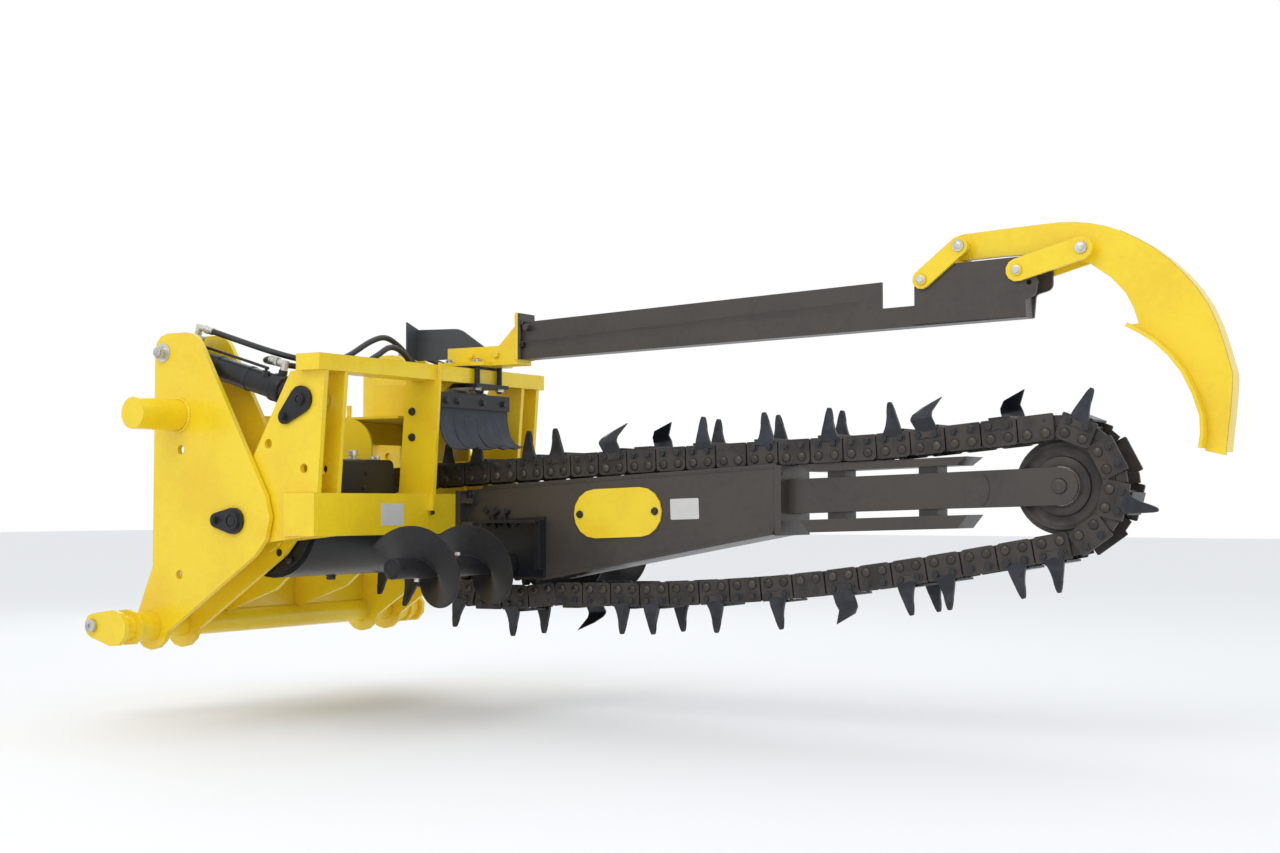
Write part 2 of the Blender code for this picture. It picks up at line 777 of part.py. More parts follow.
def elbow_end(name):
    """Where a hose leaves an elbow, in the cylinder's plane, and its heading there."""
    place, _, elbow, heading = PORTS[name]
    return TOP + ALONG * (place + heading * ELBOW_LEG) + RISE * (BARREL_R + elbow), ALONG * heading


def make_cylinders():
    """Both lift cylinders: barrel, rod and the two elbows in their ports."""
    length = REACH.length
    bore = BARREL_R - BARREL_WALL
    eye = BAY / 2 - RUN_GAP
    for name, side in SIDES.items():
        middle = Vector((0, side * CYLINDER_Y, 0))

        def at(distance, rise=0.0):
            return TOP + ALONG * distance + RISE * rise + middle

        low, high = mirrored(side, CYLINDER_Y - eye, CYLINDER_Y + eye)
        piece(
            f"{name}_cylinder_barrel",
            BLACK,
            f"{name}_barrel",
            [
                bar(at(0.022), at(BARREL_LENGTH), BARREL_R, 16),
                cross_bar(CYLINDER_TOP, low, high, 0.036, 14),
                bar(at(BARREL_LENGTH - 0.040), at(BARREL_LENGTH - 0.002), BARREL_R + 0.004, 16),
                *[
                    bar(at(place), at(place, BARREL_R + boss), 0.013, 8)
                    for place, boss, _, _ in PORTS.values()
                ],
            ],
            [
                bar(at(0.060), at(BARREL_LENGTH + 0.010), bore, 16),
                hole(CYLINDER_TOP, low - 0.003, high + 0.003, CYLINDER_PIN_R, 12),
            ],
        )
        piece(
            f"{name}_cylinder_rod",
            CHROME,
            f"{name}_rod",
            [
                bar(at(ROD_START), at(length - 0.020), ROD_R, 12),
                cross_bar(CYLINDER_ROD_PIN, low, high, 0.034, 14),
            ],
            [hole(CYLINDER_ROD_PIN, low - 0.003, high + 0.003, CYLINDER_PIN_R, 14)],
        )
        for port, (place, boss, elbow, heading) in PORTS.items():
            bend = at(place, BARREL_R + elbow)
            piece(
                f"{name}_{port}_elbow",
                ZINC,
                f"{name}_barrel",
                [
                    bar(at(place, BARREL_R + boss + SEAT), bend + RISE * 0.010, 0.0110, 8),
                    bar(bend, bend + ALONG * heading * ELBOW_LEG, 0.0095, 8),
                ],
            )


HOSE_ROUTES = {
    "cap": (
        (0.200, 0.985, 0.585), (0.300, 0.955, 0.553), (0.372, 0.870, 0.530), (0.396, 0.690, 0.524),
        (0.402, 0.480, 0.545),
        (0.405, 0.250, 0.600), (0.405, 0.100, 0.618), (0.405, -0.040, 0.596),
        (0.404, -0.200, 0.546), (0.398, -0.400, 0.522),
        (0.390, -0.690, 0.520), (0.372, -0.870, 0.530), (0.300, -0.955, 0.553), (0.200, -0.985, 0.585),
    ),
    "rod": (
        (0.296, 0.965, 0.524), (0.304, 0.915, 0.519), (0.340, 0.850, 0.510), (0.410, 0.690, 0.500),
        (0.430, 0.480, 0.506),
        (0.434, 0.270, 0.552), (0.434, 0.120, 0.586), (0.434, -0.010, 0.572),
        (0.432, -0.160, 0.520), (0.425, -0.400, 0.498),
        (0.405, -0.690, 0.500), (0.340, -0.850, 0.510), (0.304, -0.915, 0.519), (0.296, -0.965, 0.524),
    ),
}  # x, share of the cylinder's distance to the left, z


def make_hoses():
    """The two hoses that join the cylinders across the machine."""
    for name, middle in HOSE_ROUTES.items():
        end, heading = elbow_end(name)
        start = end + heading * SEAT
        straight = [start + heading * 0.034, start + heading * 0.012, start]
        last = [(p.x, -1, p.z) for p in straight]
        route = [(p.x, 1, p.z) for p in reversed(straight)] + [*middle, *last]
        points = smooth([(x, -share * CYLINDER_Y, z) for x, share, z in route], 2)
        empty, at = FRAMES["left_barrel"]
        curve = bpy.data.curves.new(f"{name}_side_hose", "CURVE")
        curve.dimensions = "3D"
        curve.bevel_depth = HOSE_R
        curve.bevel_resolution = 1
        curve.use_fill_caps = True
        spline = curve.splines.new("POLY")
        spline.points.add(len(points) - 1)
        for knot, point in zip(spline.points, points):
            knot.co = (*(Vector(point) - at), 1)
        curve.materials.append(finish_of(RUBBER))
        made = bpy.data.objects.new(f"{name}_side_hose", curve)
        bpy.context.collection.objects.link(made)
        made.parent = empty


# ---------------------------------------------------------------- boom, tension arm and nose
def boom_top(x):
    return 0.143 + (x - BOOM_START) / BOOM_LENGTH * 0.060


def boom_bottom(x):
    knee = BOOM_START + 0.293
    if x <= knee:
        return -0.126 - (x - BOOM_START) / 0.293 * 0.008
    return -0.134 + (x - knee) / (BOOM_END - knee) * 0.153


ARM_TILT = math.atan2(0.026, ARM_SHOWN + STRAP_LENGTH)


def arm_line(x):
    """Height of the tension arm's centre line."""
    return NOSE_Z + (x - NOSE[0]) * math.tan(ARM_TILT)


def arm_prism(x_low, x_high, half, y_low, y_high):
    line = [(x, arm_line(x)) for x in (x_low, x_high)]
    return prism(band(line, -half, half), y_low, y_high)


def make_boom():
    """The boom with its side cover, the tension arm that slides in it and the tension screw."""
    near = BOOM_PLANE - HALF_BOOM
    far = BOOM_PLANE + HALF_BOOM
    knee = BOOM_START + 0.293
    outline = [
        (BOOM_START, boom_top(BOOM_START)), (BOOM_END, boom_top(BOOM_END)),
        (BOOM_END, boom_bottom(BOOM_END)),
        (knee, boom_bottom(knee)), (BOOM_START, boom_bottom(BOOM_START)),
    ]
    rear = BOOM_END - 0.30
    front_cell = [
        (x, z) for x, z in (
            (BOOM_START + 0.030, boom_top(BOOM_START + 0.030) - BOOM_WALL),
            (BOOM_START + 0.420, boom_top(BOOM_START + 0.420) - BOOM_WALL),
            (BOOM_START + 0.420, boom_bottom(BOOM_START + 0.420) + BOOM_WALL),
            (knee, boom_bottom(knee) + BOOM_WALL),
            (BOOM_START + 0.030, boom_bottom(BOOM_START + 0.030) + BOOM_WALL),
        )
    ]
    start = BOOM_START + 0.440
    rear_cell = [
        (start, boom_top(start) - BOOM_WALL), (BOOM_END - 0.030, boom_top(BOOM_END - 0.030) - BOOM_WALL),
        (BOOM_END - 0.030, boom_bottom(BOOM_END - 0.030) + BOOM_WALL),
        (start, boom_bottom(start) + BOOM_WALL),
    ]
    collar = [
        (BOOM_END - 0.002, boom_bottom(BOOM_END) - 0.010), (BOOM_END - 0.002, boom_top(BOOM_END) + 0.005),
        (BOOM_END + 0.018, boom_top(BOOM_END) + 0.005), (BOOM_END + 0.018, boom_bottom(BOOM_END) - 0.010),
    ]
    inner = (near + BOOM_WALL, far - BOOM_WALL)
    flange = (LOW_BEAM[1] + SEAT, BOOM_START + 0.002)
    clamp = [(flange[0] + 0.001, z) for z in (0.034, 0.108)]
    half_arm = ARM_WIDTH / 2 + SLIDE_GAP
    adds = [
        prism(outline, near, far),
        prism(collar, near - 0.006, far + 0.006),
        prism(
            [
                (knee, boom_bottom(knee) - 0.001), (knee, boom_bottom(knee) + 0.006),
                (BOOM_END - 0.01, boom_bottom(BOOM_END) + 0.004),
                (BOOM_END - 0.01, boom_bottom(BOOM_END) - 0.008),
            ],
            near - 0.005,
            far + 0.005,
        ),
        box(flange, (near - 0.037, far + 0.037), (LOW_BEAM[2] + 0.006, 0.140)),
    ]
    for side_y in (near, far):
        outward = -1 if side_y == near else 1
        ys = sorted((side_y - outward * 0.002, side_y + outward * 0.030))
        for x, z in clamp:
            adds.append(box((x + 0.002, x + 0.060), ys, (z - 0.008, z + 0.008)))
    for y in (near - 0.020, far + 0.020):
        for z in (0.030, 0.116):
            adds.append(
                bar((flange[1] - 0.001, y, z + 0.004), (flange[1] + 0.012, y, z + 0.004), 0.010, 6)
            )
    cuts = [
        prism(front_cell, *inner),
        prism(rear_cell, *inner),
        arm_prism(
            BOOM_END - 0.050, BOOM_END + 0.030, ARM_HEIGHT / 2 + SLIDE_GAP, BOOM_PLANE - half_arm,
            BOOM_PLANE + half_arm,
        ),
        box(
            (AUGER[0] - AUGER_PIN_R - 0.010, AUGER[0] + AUGER_PIN_R + 0.010),
            (BOOM_PLANE - 0.030, BOOM_PLANE + 0.030),
            (-0.200, -0.100),
        ),
        cross_bar(AUGER, near - 0.010, far + 0.010, AUGER_SHAFT_R + 0.0015, 16),
        bar(
            (start - 0.060, BOOM_PLANE, arm_line(start)),
            (start + 0.060, BOOM_PLANE, arm_line(start)), 0.0125, 12,
        ),
    ]
    piece("boom", BLACK, "swing", adds, cuts)
    cover_y = near - SEAT
    cover = teardrop((BOOM_START + 0.486, 0.069), 0.074, (BOOM_START + 0.647, 0.075), 0.0739, 8)
    bolts = [
        cross_bar((BOOM_START + x, z), cover_y - 0.010, cover_y - 0.001, 0.007, 6)
        for x, z in ((0.434, 0.067), (0.699, 0.077))
    ]
    piece("boom_cover", YELLOW, "swing", [prism(cover, cover_y - 0.006, cover_y), *bolts])
    tail = BOOM_END - ARM_INSIDE
    screw_z = arm_line(start)
    piece(
        "tension_screw",
        ZINC,
        "swing",
        [
            bar((start - 0.050, BOOM_PLANE, screw_z), (tail - 0.013, BOOM_PLANE, screw_z), 0.012, 12),
            bar((start + SEAT, BOOM_PLANE, screw_z), (start + 0.016, BOOM_PLANE, screw_z), 0.020, 6),
        ],
    )
    arm_end = BOOM_END + ARM_SHOWN
    strap = teardrop(
        NOSE, ARM_HEIGHT / 2 + 0.001, (arm_end - 0.080, arm_line(arm_end - 0.080)), ARM_HEIGHT / 2,
        8,
    )
    strap_in = ARM_WIDTH / 2 - 0.012
    block = arm_prism(
        tail, arm_end - 0.005, ARM_HEIGHT / 2, BOOM_PLANE - ARM_WIDTH / 2,
        BOOM_PLANE + ARM_WIDTH / 2,
    )
    hollow = arm_prism(
        tail + 0.010, arm_end - 0.130, ARM_HEIGHT / 2 - 0.007, BOOM_PLANE - 0.038,
        BOOM_PLANE + 0.038,
    )
    piece(
        "tension_arm",
        BLACK,
        "tension_arm",
        [
            block,
            prism(strap, BOOM_PLANE - ARM_WIDTH / 2 + 0.0005, BOOM_PLANE - strap_in),
            prism(strap, BOOM_PLANE + strap_in, BOOM_PLANE + ARM_WIDTH / 2 - 0.0005),
        ],
        [
            hollow,
            box(
                (arm_end - 0.250, arm_end - 0.180), (BOOM_PLANE - 0.020, BOOM_PLANE + 0.020),
                (0.030, 0.110),
            ),
            hole(NOSE, BOOM_PLANE - 0.060, BOOM_PLANE + 0.060, 0.020, 16),
        ],
    )


RAIL = (0.059, 0.562)  # rail's ends, measured from the boom's end
RAIL_HALF_WIDTH = 0.060


def make_rails():
    """The rails above and below the tension arm that the chain runs on."""
    low_x = BOOM_END + RAIL[0]
    high_x = BOOM_END + RAIL[1]
    for name, side in (("upper", 1), ("lower", -1)):
        face = ARM_HEIGHT / 2 + SEAT
        post, thickness = (0.018, 0.022) if side > 0 else (0.0185, 0.036)
        base = face + post
        adds = []
        rail = [
            (low_x + 0.030, base), (low_x, base + thickness), (high_x, base + thickness),
            (high_x - 0.030, base),
        ]
        if side < 0:
            rail = [
                (low_x, base), (low_x + 0.030, base + thickness),
                (high_x - 0.030, base + thickness), (high_x, base),
            ]
        adds.append(
            prism(
                [(x, arm_line(x) + side * z) for x, z in rail], BOOM_PLANE - RAIL_HALF_WIDTH,
                BOOM_PLANE + RAIL_HALF_WIDTH,
            )
        )
        for x in (low_x + 0.078, high_x - 0.150):
            foot = [(x, face), (x, base + 0.002), (x + 0.055, base + 0.002), (x + 0.055, face)]
            adds.append(
                prism(
                    [(a, arm_line(a) + side * z) for a, z in foot], BOOM_PLANE - 0.035,
                    BOOM_PLANE + 0.035,
                )
            )
        piece(f"{name}_guide_rail", BLACK, "tension_arm", adds)


def make_nose():
    """The axle and the idler wheel at the end of the tension arm."""
    rim = NOSE_PIN_R - BUSH_R - 0.0008
    profile = [
        (0.0203, -0.0325), (0.055, -0.0325), (0.055, -0.026), (rim - 0.012, -0.030),
        (rim - 0.012, -0.019), (rim, -0.019),
        (rim, 0.019), (rim - 0.012, 0.019), (rim - 0.012, 0.030), (0.055, 0.026), (0.055, 0.0325),
        (0.0203, 0.0325),
    ]
    piece(
        "nose_wheel",
        STEEL,
        "nose_wheel",
        [turned([(r, y + BOOM_PLANE) for r, y in profile], NOSE, 28, bored=True)],
    )
    half = ARM_WIDTH / 2
    piece(
        "nose_axle",
        BLACK,
        "tension_arm",
        [
            cross_bar(NOSE, BOOM_PLANE - half - 0.004, BOOM_PLANE + half + 0.004, 0.020, 16),
        ],
    )


# ---------------------------------------------------------------- digging chain
def tangent_point(centre, radius, toward, side):
    """Where the line from `toward` touches the circle, on the upper (1) or lower (-1) side."""
    gap = Vector(toward) - Vector(centre)
    lean = math.acos(radius / gap.length)
    turn = math.atan2(gap.y, gap.x) + side * lean
    return (centre[0] + radius * math.cos(turn), centre[1] + radius * math.sin(turn)), math.degrees(turn)


def run_between(first, last, sags):
    """A hanging run: points at fractions of the way, each (fraction, drop below the straight line)."""
    points = [first]
    for share, drop in sags:
        points.append(
            (first[0] + (last[0] - first[0]) * share, first[1] + (last[1] - first[1]) * share - drop)
        )
    return [*points, last]


BOOM_PASSES = ((0.0477, 0.0368), (0.5330, 0.0338), (1.0, 0.0253))  # share of the boom, height over it
ARM_PASSES = ((0.2865, 0.1113), (0.5307, 0.1238))  # from the boom's end, height over the arm's line
BOTTOM_SAGS = (
    (0.139, 0.048), (0.249, 0.080), (0.380, 0.108), (0.556, 0.124), (0.707, 0.120), (0.827, 0.131),
)


def pin_line():
    """The loop of the chain's pins, from the head sprocket's top along the upper run and back."""
    probe_top = (NOSE[0] - 0.278, NOSE_Z + 0.115)
    nose_top, nose_from = tangent_point(NOSE, NOSE_PIN_R, probe_top, -1)
    probe_low = (NOSE[0] - 0.29, NOSE_Z - 0.195)
    nose_low, nose_to = tangent_point(NOSE, NOSE_PIN_R, probe_low, 1)
    head_top, head_to = tangent_point(PIVOT, HEAD_PIN_R, (PIVOT[0] + 0.37, PIVOT[1] + 0.134), 1)
    head_low, head_from = tangent_point(PIVOT, HEAD_PIN_R, (PIVOT[0] + 0.363, PIVOT[1] - 0.229), -1)
    upper = [head_top]
    for share, height in BOOM_PASSES:
        x = BOOM_START + share * BOOM_LENGTH
        upper.append((x, boom_top(x) + height))
    for reach, height in ARM_PASSES:
        x = BOOM_END + reach
        upper.append((x, arm_line(x) + height))
    loop = smooth([*upper, nose_top], 2)[:-1]
    loop += arc(NOSE, NOSE_PIN_R, nose_from % 360, nose_to % 360 - 360, 12)[:-1]
    loop += smooth(run_between(nose_low, head_low, BOTTOM_SAGS), 2)[:-1]
    loop += arc(PIVOT, HEAD_PIN_R, head_from % 360, head_to % 360, 10)[:-1]
    return loop


def stations(loop, spacing):
    """Even steps round a closed loop, each with its outward normal; a step is near `spacing`."""
    points = [Vector(p) for p in loop]
    ends = points[1:] + points[:1]
    total = sum((b - a).length for a, b in zip(points, ends))
    count = 2 * round(total / spacing / 2)
    step = total / count
    found = []
    walked = 0.0
    wanted = step / 2
    for a, b in zip(points, ends):
        length = (b - a).length
        while wanted <= walked + length and len(found) < count:
            run = (b - a) / length
            found.append((a + run * (wanted - walked), Vector((-run.y, run.x))))
            wanted += step
        walked += length
    return found


def along(loop, walked):
    """The point that far along a closed loop, with its outward normal."""
    points = [Vector(p) for p in loop]
    for a, b in zip(points, points[1:] + points[:1]):
        length = (b - a).length
        if walked <= length:
            run = (b - a) / length
            return a + run * walked, Vector((-run.y, run.x))
        walked -= length
    return points[0], Vector((0.0, 1.0))


def strip(loop, start, end, low, high):
    """A side plate's strip along part of a closed loop, between two distances walked along it."""
    points = [Vector(p) for p in loop]
    marks = []
    walked = 0.0
    total = sum((b - a).length for a, b in zip(points, points[1:] + points[:1]))
    for lap in (0, 1):
        for i, point in enumerate(points):
            if start + 0.004 < walked < end - 0.004:
                run = points[(i + 1) % len(points)] - points[i - 1]
                marks.append((point, Vector((-run.y, run.x)).normalized()))
            walked += (points[(i + 1) % len(points)] - point).length
    marks = [along(loop, start % total), *marks, along(loop, end % total)]
    bm = bmesh.new()
    corners = []
    for point, normal in marks:
        near = point - normal * LINK_INSIDE
        far = point + normal * LINK_OUTSIDE
        square = ((near, low), (far, low), (far, high), (near, high))
        corners.append([bm.verts.new((p.x, y, p.y)) for p, y in square])
    for here, there in zip(corners, corners[1:]):
        for j in range(4):
            k = (j + 1) % 4
            bm.faces.new((here[j], here[k], there[k], there[j]))
    bm.faces.new(corners[0])
    bm.faces.new(corners[-1][::-1])
    return finished(bm)


CUTTER_START = 0.312  # from the swing axis to the first cutter, along the top
CUTTER_STEPS = (4, 3, 3, 3, 4, 4)
CUTTERS = (
    "fin fin fin cup dish pair pair pair fin cup dish fin fin fin fin "
    "fin pair cup fin fin pair pair dish pair fin fin pair fin fin pair"
).split()


CUTTER_SHAPES = {
    "fin": (
        (-0.028, 0.0), (0.026, 0.0), (0.022, 0.030), (0.004, 0.066), (-0.014, 0.095),
        (-0.016, 0.060), (-0.026, 0.030),
    ),
    "cup": (
        (-0.026, 0.0), (0.026, 0.0), (0.022, 0.030), (0.006, 0.060), (0.040, 0.088), (0.028, 0.094),
        (-0.012, 0.070), (-0.028, 0.036),
    ),
    "blade": ((-0.012, 0.056), (0.004, 0.056), (0.038, 0.088), (0.026, 0.093)),
}


def cutter_outline(at, normal, shape, lean):
    """A cutter's outline in the chain's plane, standing on the plates at one station."""
    run = Vector((normal.y, -normal.x))
    base = LINK_OUTSIDE + CUTTER - 0.095
    scale = CUTTER / 0.083
    return [tuple(at + run * a * lean + normal * (base + b * scale)) for a, b in CUTTER_SHAPES[shape]]


def bushes_on(pins):
    """The bushes that carry the chain's pins between its side plates, in one mesh."""
    low = BOOM_PLANE - HALF_CHAIN + SIDE_BAND / 2
    high = BOOM_PLANE + HALF_CHAIN - SIDE_BAND / 2
    joined = bmesh.new()
    for at, _ in pins:
        bush = cross_bar(at, low, high, BUSH_R, 6)
        mesh = bpy.data.meshes.new("bush")
        bush.to_mesh(mesh)
        joined.from_mesh(mesh)
        bpy.data.meshes.remove(mesh)
    return joined


def cutters_at(at, normal, kind, lean):
    """The cutters that stand on the chain at one station."""
    low = BOOM_PLANE - HALF_CHAIN - 0.004
    high = BOOM_PLANE + HALF_CHAIN + 0.004
    sides = {-1: (low, low + CUTTER_THICKNESS), 1: (high - CUTTER_THICKNESS, high)}
    made = []
    if kind in ("fin", "pair"):
        made.append(prism(cutter_outline(at, normal, "fin", lean), *sides[-1]))
    if kind == "pair":
        made.append(prism(cutter_outline(at, normal, "fin", lean), *sides[1]))
    if kind in ("cup", "dish"):
        side = -1 if kind == "cup" else 1
        inward = sorted((sides[side][0] + 0.006, BOOM_PLANE + side * 0.012))
        made.append(prism(cutter_outline(at, normal, "cup", 1), *sides[side]))
        made.append(prism(cutter_outline(at, normal, "blade", 1), *inward))
    return made


CHAIN_SECTIONS = (
    ("chain_upper_run", 0.52, 1),
    ("chain_nose_turn", 2.24, 1),
    ("chain_lower_run", 2.24, -1),
    ("chain_head_turn", 0.52, -1),
)  # each starts near that x, on the upper (1) or lower (-1) run


def make_chain():
    """The digging chain, closed round the head sprocket and the nose wheel in four sections."""
    loop = pin_line()
    points = [Vector(p) for p in loop]
    total = sum((b - a).length for a, b in zip(points, points[1:] + points[:1]))
    pins = stations(loop, PITCH)
    step = total / len(pins)
    first = min(range(len(pins) // 2), key=lambda i: abs(pins[i][0].x - PIVOT[0] - CUTTER_START))
    teeth = []
    walked = 0
    for turn, kind in enumerate(CUTTERS):
        teeth.append((first + walked, kind, 1 if turn % 2 else -1))
        walked += CUTTER_STEPS[turn % len(CUTTER_STEPS)]
        if walked > len(pins) - CUTTER_STEPS[1]:
            break
    turns = [(a[0] + b[0] + 1) / 2 * step for a, b in zip(teeth, teeth[1:])]
    splits = []
    for name, x, side in CHAIN_SECTIONS:
        wanted = x + (0 if x < 1 else NOSE_SHIFT)
        reach = [(along(loop, t % total)[0], t) for t in turns]
        near = [(abs(at.x - wanted), t) for at, t in reach if (at.y - 0.08) * side > 0]
        splits.append((min(near)[1], name))
    sides = (
        (BOOM_PLANE - HALF_CHAIN, BOOM_PLANE - HALF_CHAIN + SIDE_BAND),
        (BOOM_PLANE + HALF_CHAIN - SIDE_BAND, BOOM_PLANE + HALF_CHAIN),
    )
    ends = splits[1:] + [(splits[0][0] + total, "")]
    for (start, name), (end, _) in zip(splits, ends):
        marks = range(len(pins) * 2)
        here = [i for i in marks if start + BUSH_R < (i + 0.5) * step < end - BUSH_R]
        adds = [strip(loop, start + SEAT / 2, end - SEAT / 2, *side) for side in sides]
        adds.append(bushes_on([pins[i % len(pins)] for i in here if i % 2 == 0]))
        for i, kind, lean in teeth:
            if i in here or i + len(pins) in here:
                adds += cutters_at(*pins[i % len(pins)], kind, lean)
        piece(name, STEEL, "swing", adds)


# ---------------------------------------------------------------- augers
def flight(start, length, hand, phase):
    """A screw blade about the auger's axis, from y = start along Y for `length`, which is signed."""
    turns = abs(length) / AUGER_PITCH
    steps = round(18 * turns)
    bm = bmesh.new()
    rows = []
    for i in range(steps + 1):
        a = math.radians(phase) + hand * 2 * math.pi * turns * i / steps
        y = start + length * i / steps
        row = []
        for radius, dy in (
            (AUGER_SLEEVE_R - 0.005, -FLIGHT / 2), (AUGER_R, -FLIGHT / 2), (AUGER_R, FLIGHT / 2),
            (AUGER_SLEEVE_R - 0.005, FLIGHT / 2),
        ):
            row.append(
                bm.verts.new((AUGER[0] + radius * math.cos(a), y + dy, AUGER[1] + radius * math.sin(a)))
            )
        rows.append(row)
    for here, there in zip(rows, rows[1:]):
        for j in range(4):
            k = (j + 1) % 4
            bm.faces.new((here[j], here[k], there[k], there[j]))
    bm.faces.new(rows[0])
    bm.faces.new(rows[-1])
    return finished(bm)


def to_the_right(bm):
    """The bmesh mirrored about the boom's plane."""
    bm.transform(Matrix.Translation((0, 2 * BOOM_PLANE, 0)) @ Matrix.Scale(-1, 4, (0, 1, 0)))
    return finished(bm)


def make_augers():
    """The two spoil augers with their shaft, sprocket and hanging brackets."""
    inner = HALF_BOOM + 0.014
    low = BOOM_PLANE - inner - AUGER_LENGTH
    high = BOOM_PLANE - inner
    bolt = ((low + high) / 2 + 0.020, AUGER[1] - AUGER_SLEEVE_R)
    for name, side in SIDES.items():
        adds = [
            cross_bar(AUGER, low, high, AUGER_SLEEVE_R, 18),
            flight(low + 0.045, AUGER_LENGTH - 0.075, -1, 150),
            bar((AUGER[0], bolt[0], bolt[1] + 0.004), (AUGER[0], bolt[0], bolt[1] - 0.010), 0.009, 6),
        ]
        cuts = [cross_bar(AUGER, low + 0.120, high + 0.010, AUGER_SHAFT_R + SEAT, 16)]
        if side > 0:
            adds = [to_the_right(bm) for bm in adds]
            cuts = [to_the_right(bm) for bm in cuts]
        piece(f"{name}_auger", BLACK, "augers", adds, cuts)
        side_face = BOOM_PLANE + side * HALF_BOOM
        ys = sorted((side_face + side * SEAT, side_face + side * 0.0105))
        shelf = sorted((side_face + side * 0.009, side_face + side * 0.060))
        lip = sorted((side_face + side * 0.009, side_face + side * 0.036))
        piece(
            f"{name}_auger_bracket",
            BLACK,
            "swing",
            [
                prism(
                    rounded(
                        [
                            (AUGER[0] - 0.115, -0.115, 0.03), (AUGER[0] - 0.115, 0.048),
                            (AUGER[0] + 0.125, 0.060), (AUGER[0] + 0.125, -0.125),
                            (AUGER[0], -0.128, 0.03),
                        ]
                    ),
                    *ys,
                ),
                box((AUGER[0] + 0.106, AUGER[0] + 0.125), lip, (-0.100, 0.050)),
                box(
                    (AUGER[0] - 0.100, AUGER[0] + 0.124), shelf,
                    (AUGER[1] + AUGER_R + 0.004, AUGER[1] + AUGER_R + 0.012),
                ),
                *[
                    cross_bar(
                        (AUGER[0] + x, 0.050 - 0.012),
                        *sorted((ys[0] if side > 0 else ys[1], side_face + side * 0.020)),
                        0.011,
                        6,
                    )
                    for x in (-0.080, -0.030, 0.020)
                ],
            ],
            [cross_bar(AUGER, min(ys) - 0.010, max(ys) + 0.010, AUGER_SHAFT_R + 0.0006, 16)],
        )
    reach = HALF_BOOM + 0.120
    piece(
        "auger_shaft",
        STEEL,
        "augers",
        [cross_bar(AUGER, BOOM_PLANE - reach, BOOM_PLANE + reach, AUGER_SHAFT_R, 16)],
    )
    piece(
        "auger_sprocket",
        STEEL,
        "augers",
        [
            toothed(AUGER, 0.058, 0.0715, AUGER_TEETH, BOOM_PLANE - 0.011, BOOM_PLANE + 0.011),
            cross_bar(AUGER, BOOM_PLANE - 0.028, BOOM_PLANE + 0.028, 0.036, 16),
        ],
        [cross_bar(AUGER, BOOM_PLANE - 0.040, BOOM_PLANE + 0.040, AUGER_SHAFT_R + SEAT, 16)],
    )


# ---------------------------------------------------------------- trench cleaner
def shifted(point):
    """A place on the trench cleaner's far end, which stays over the nose wheel."""
    return (point[0] + NOSE_SHIFT, *point[1:])


FRONT_LINK = (shifted((2.106, 0.713)), shifted((2.215, 0.798)))
REAR_LINK = (shifted((2.378, 0.721)), shifted((2.554, 0.768)))


def make_crumber_mount():
    """The bracket, pad and clamp that hold the trench cleaner's arm on the upper beam."""
    low, high = BOOM_PLANE - 0.035, BOOM_PLANE + 0.035
    top = TOP_BEAM[3] + SEAT
    spread = 0.059
    rows = (TOP_BEAM[0] - 0.011, TOP_BEAM[1] + 0.011)
    back = BRACKET_X[1] - 0.012
    stud_holes = [
        bar((x, BOOM_PLANE + y, top - 0.010), (x, BOOM_PLANE + y, top + 0.030), 0.0085 + SEAT, 8)
        for x in rows for y in (-spread, spread)
    ]
    piece(
        "crumber_bracket",
        YELLOW,
        "swing",
        [
            box(BRACKET_X, (low, high), (0.546, 0.599)),
            box(
                (BRACKET_X[0] + 0.002, 0.640), (BOOM_PLANE - 0.078, BOOM_PLANE + 0.078),
                (top + 0.008, 0.548),
            ),
            box((0.600, BRACKET_X[1] - 0.002), (low - 0.004, high + 0.004), (top + 0.009, 0.547)),
            box((back, BRACKET_X[1]), (low - 0.004, high + 0.004), (0.552, 0.700)),
            prism(
                [(0.640, 0.597), (back + 0.002, 0.597), (back + 0.002, 0.685)],
                BOOM_PLANE - 0.006,
                BOOM_PLANE + 0.006,
            ),
            *[cross_bar((x, 0.572), low - 0.010, low + 0.002, 0.009, 6) for x in (0.560, 0.660)],
        ],
        stud_holes,
    )
    piece(
        "crumber_pad",
        BLACK,
        "swing",
        [
            box(
                (TOP_BEAM[0] + 0.004, TOP_BEAM[1] - 0.004),
                (BOOM_PLANE - 0.090, BOOM_PLANE + 0.078), (top, top + 0.0077),
            )
        ],
    )
    under = TOP_BEAM[2] - SEAT
    studs = [
        bar((x, BOOM_PLANE + y, under - 0.026), (x, BOOM_PLANE + y, 0.560), 0.0085, 8)
        for x in rows for y in (-spread, spread)
    ]
    nuts = [
        bar((x, BOOM_PLANE + y, 0.548 + SEAT), (x, BOOM_PLANE + y, 0.557), 0.013, 6)
        for x in rows for y in (-spread, spread)
    ]
    piece(
        "crumber_clamp",
        ZINC,
        "swing",
        [
            box(
                (rows[0] - 0.018, rows[1] + 0.018), (BOOM_PLANE - 0.085, BOOM_PLANE + 0.085),
                (under - 0.012, under),
            ),
            *studs,
            *nuts,
        ],
    )


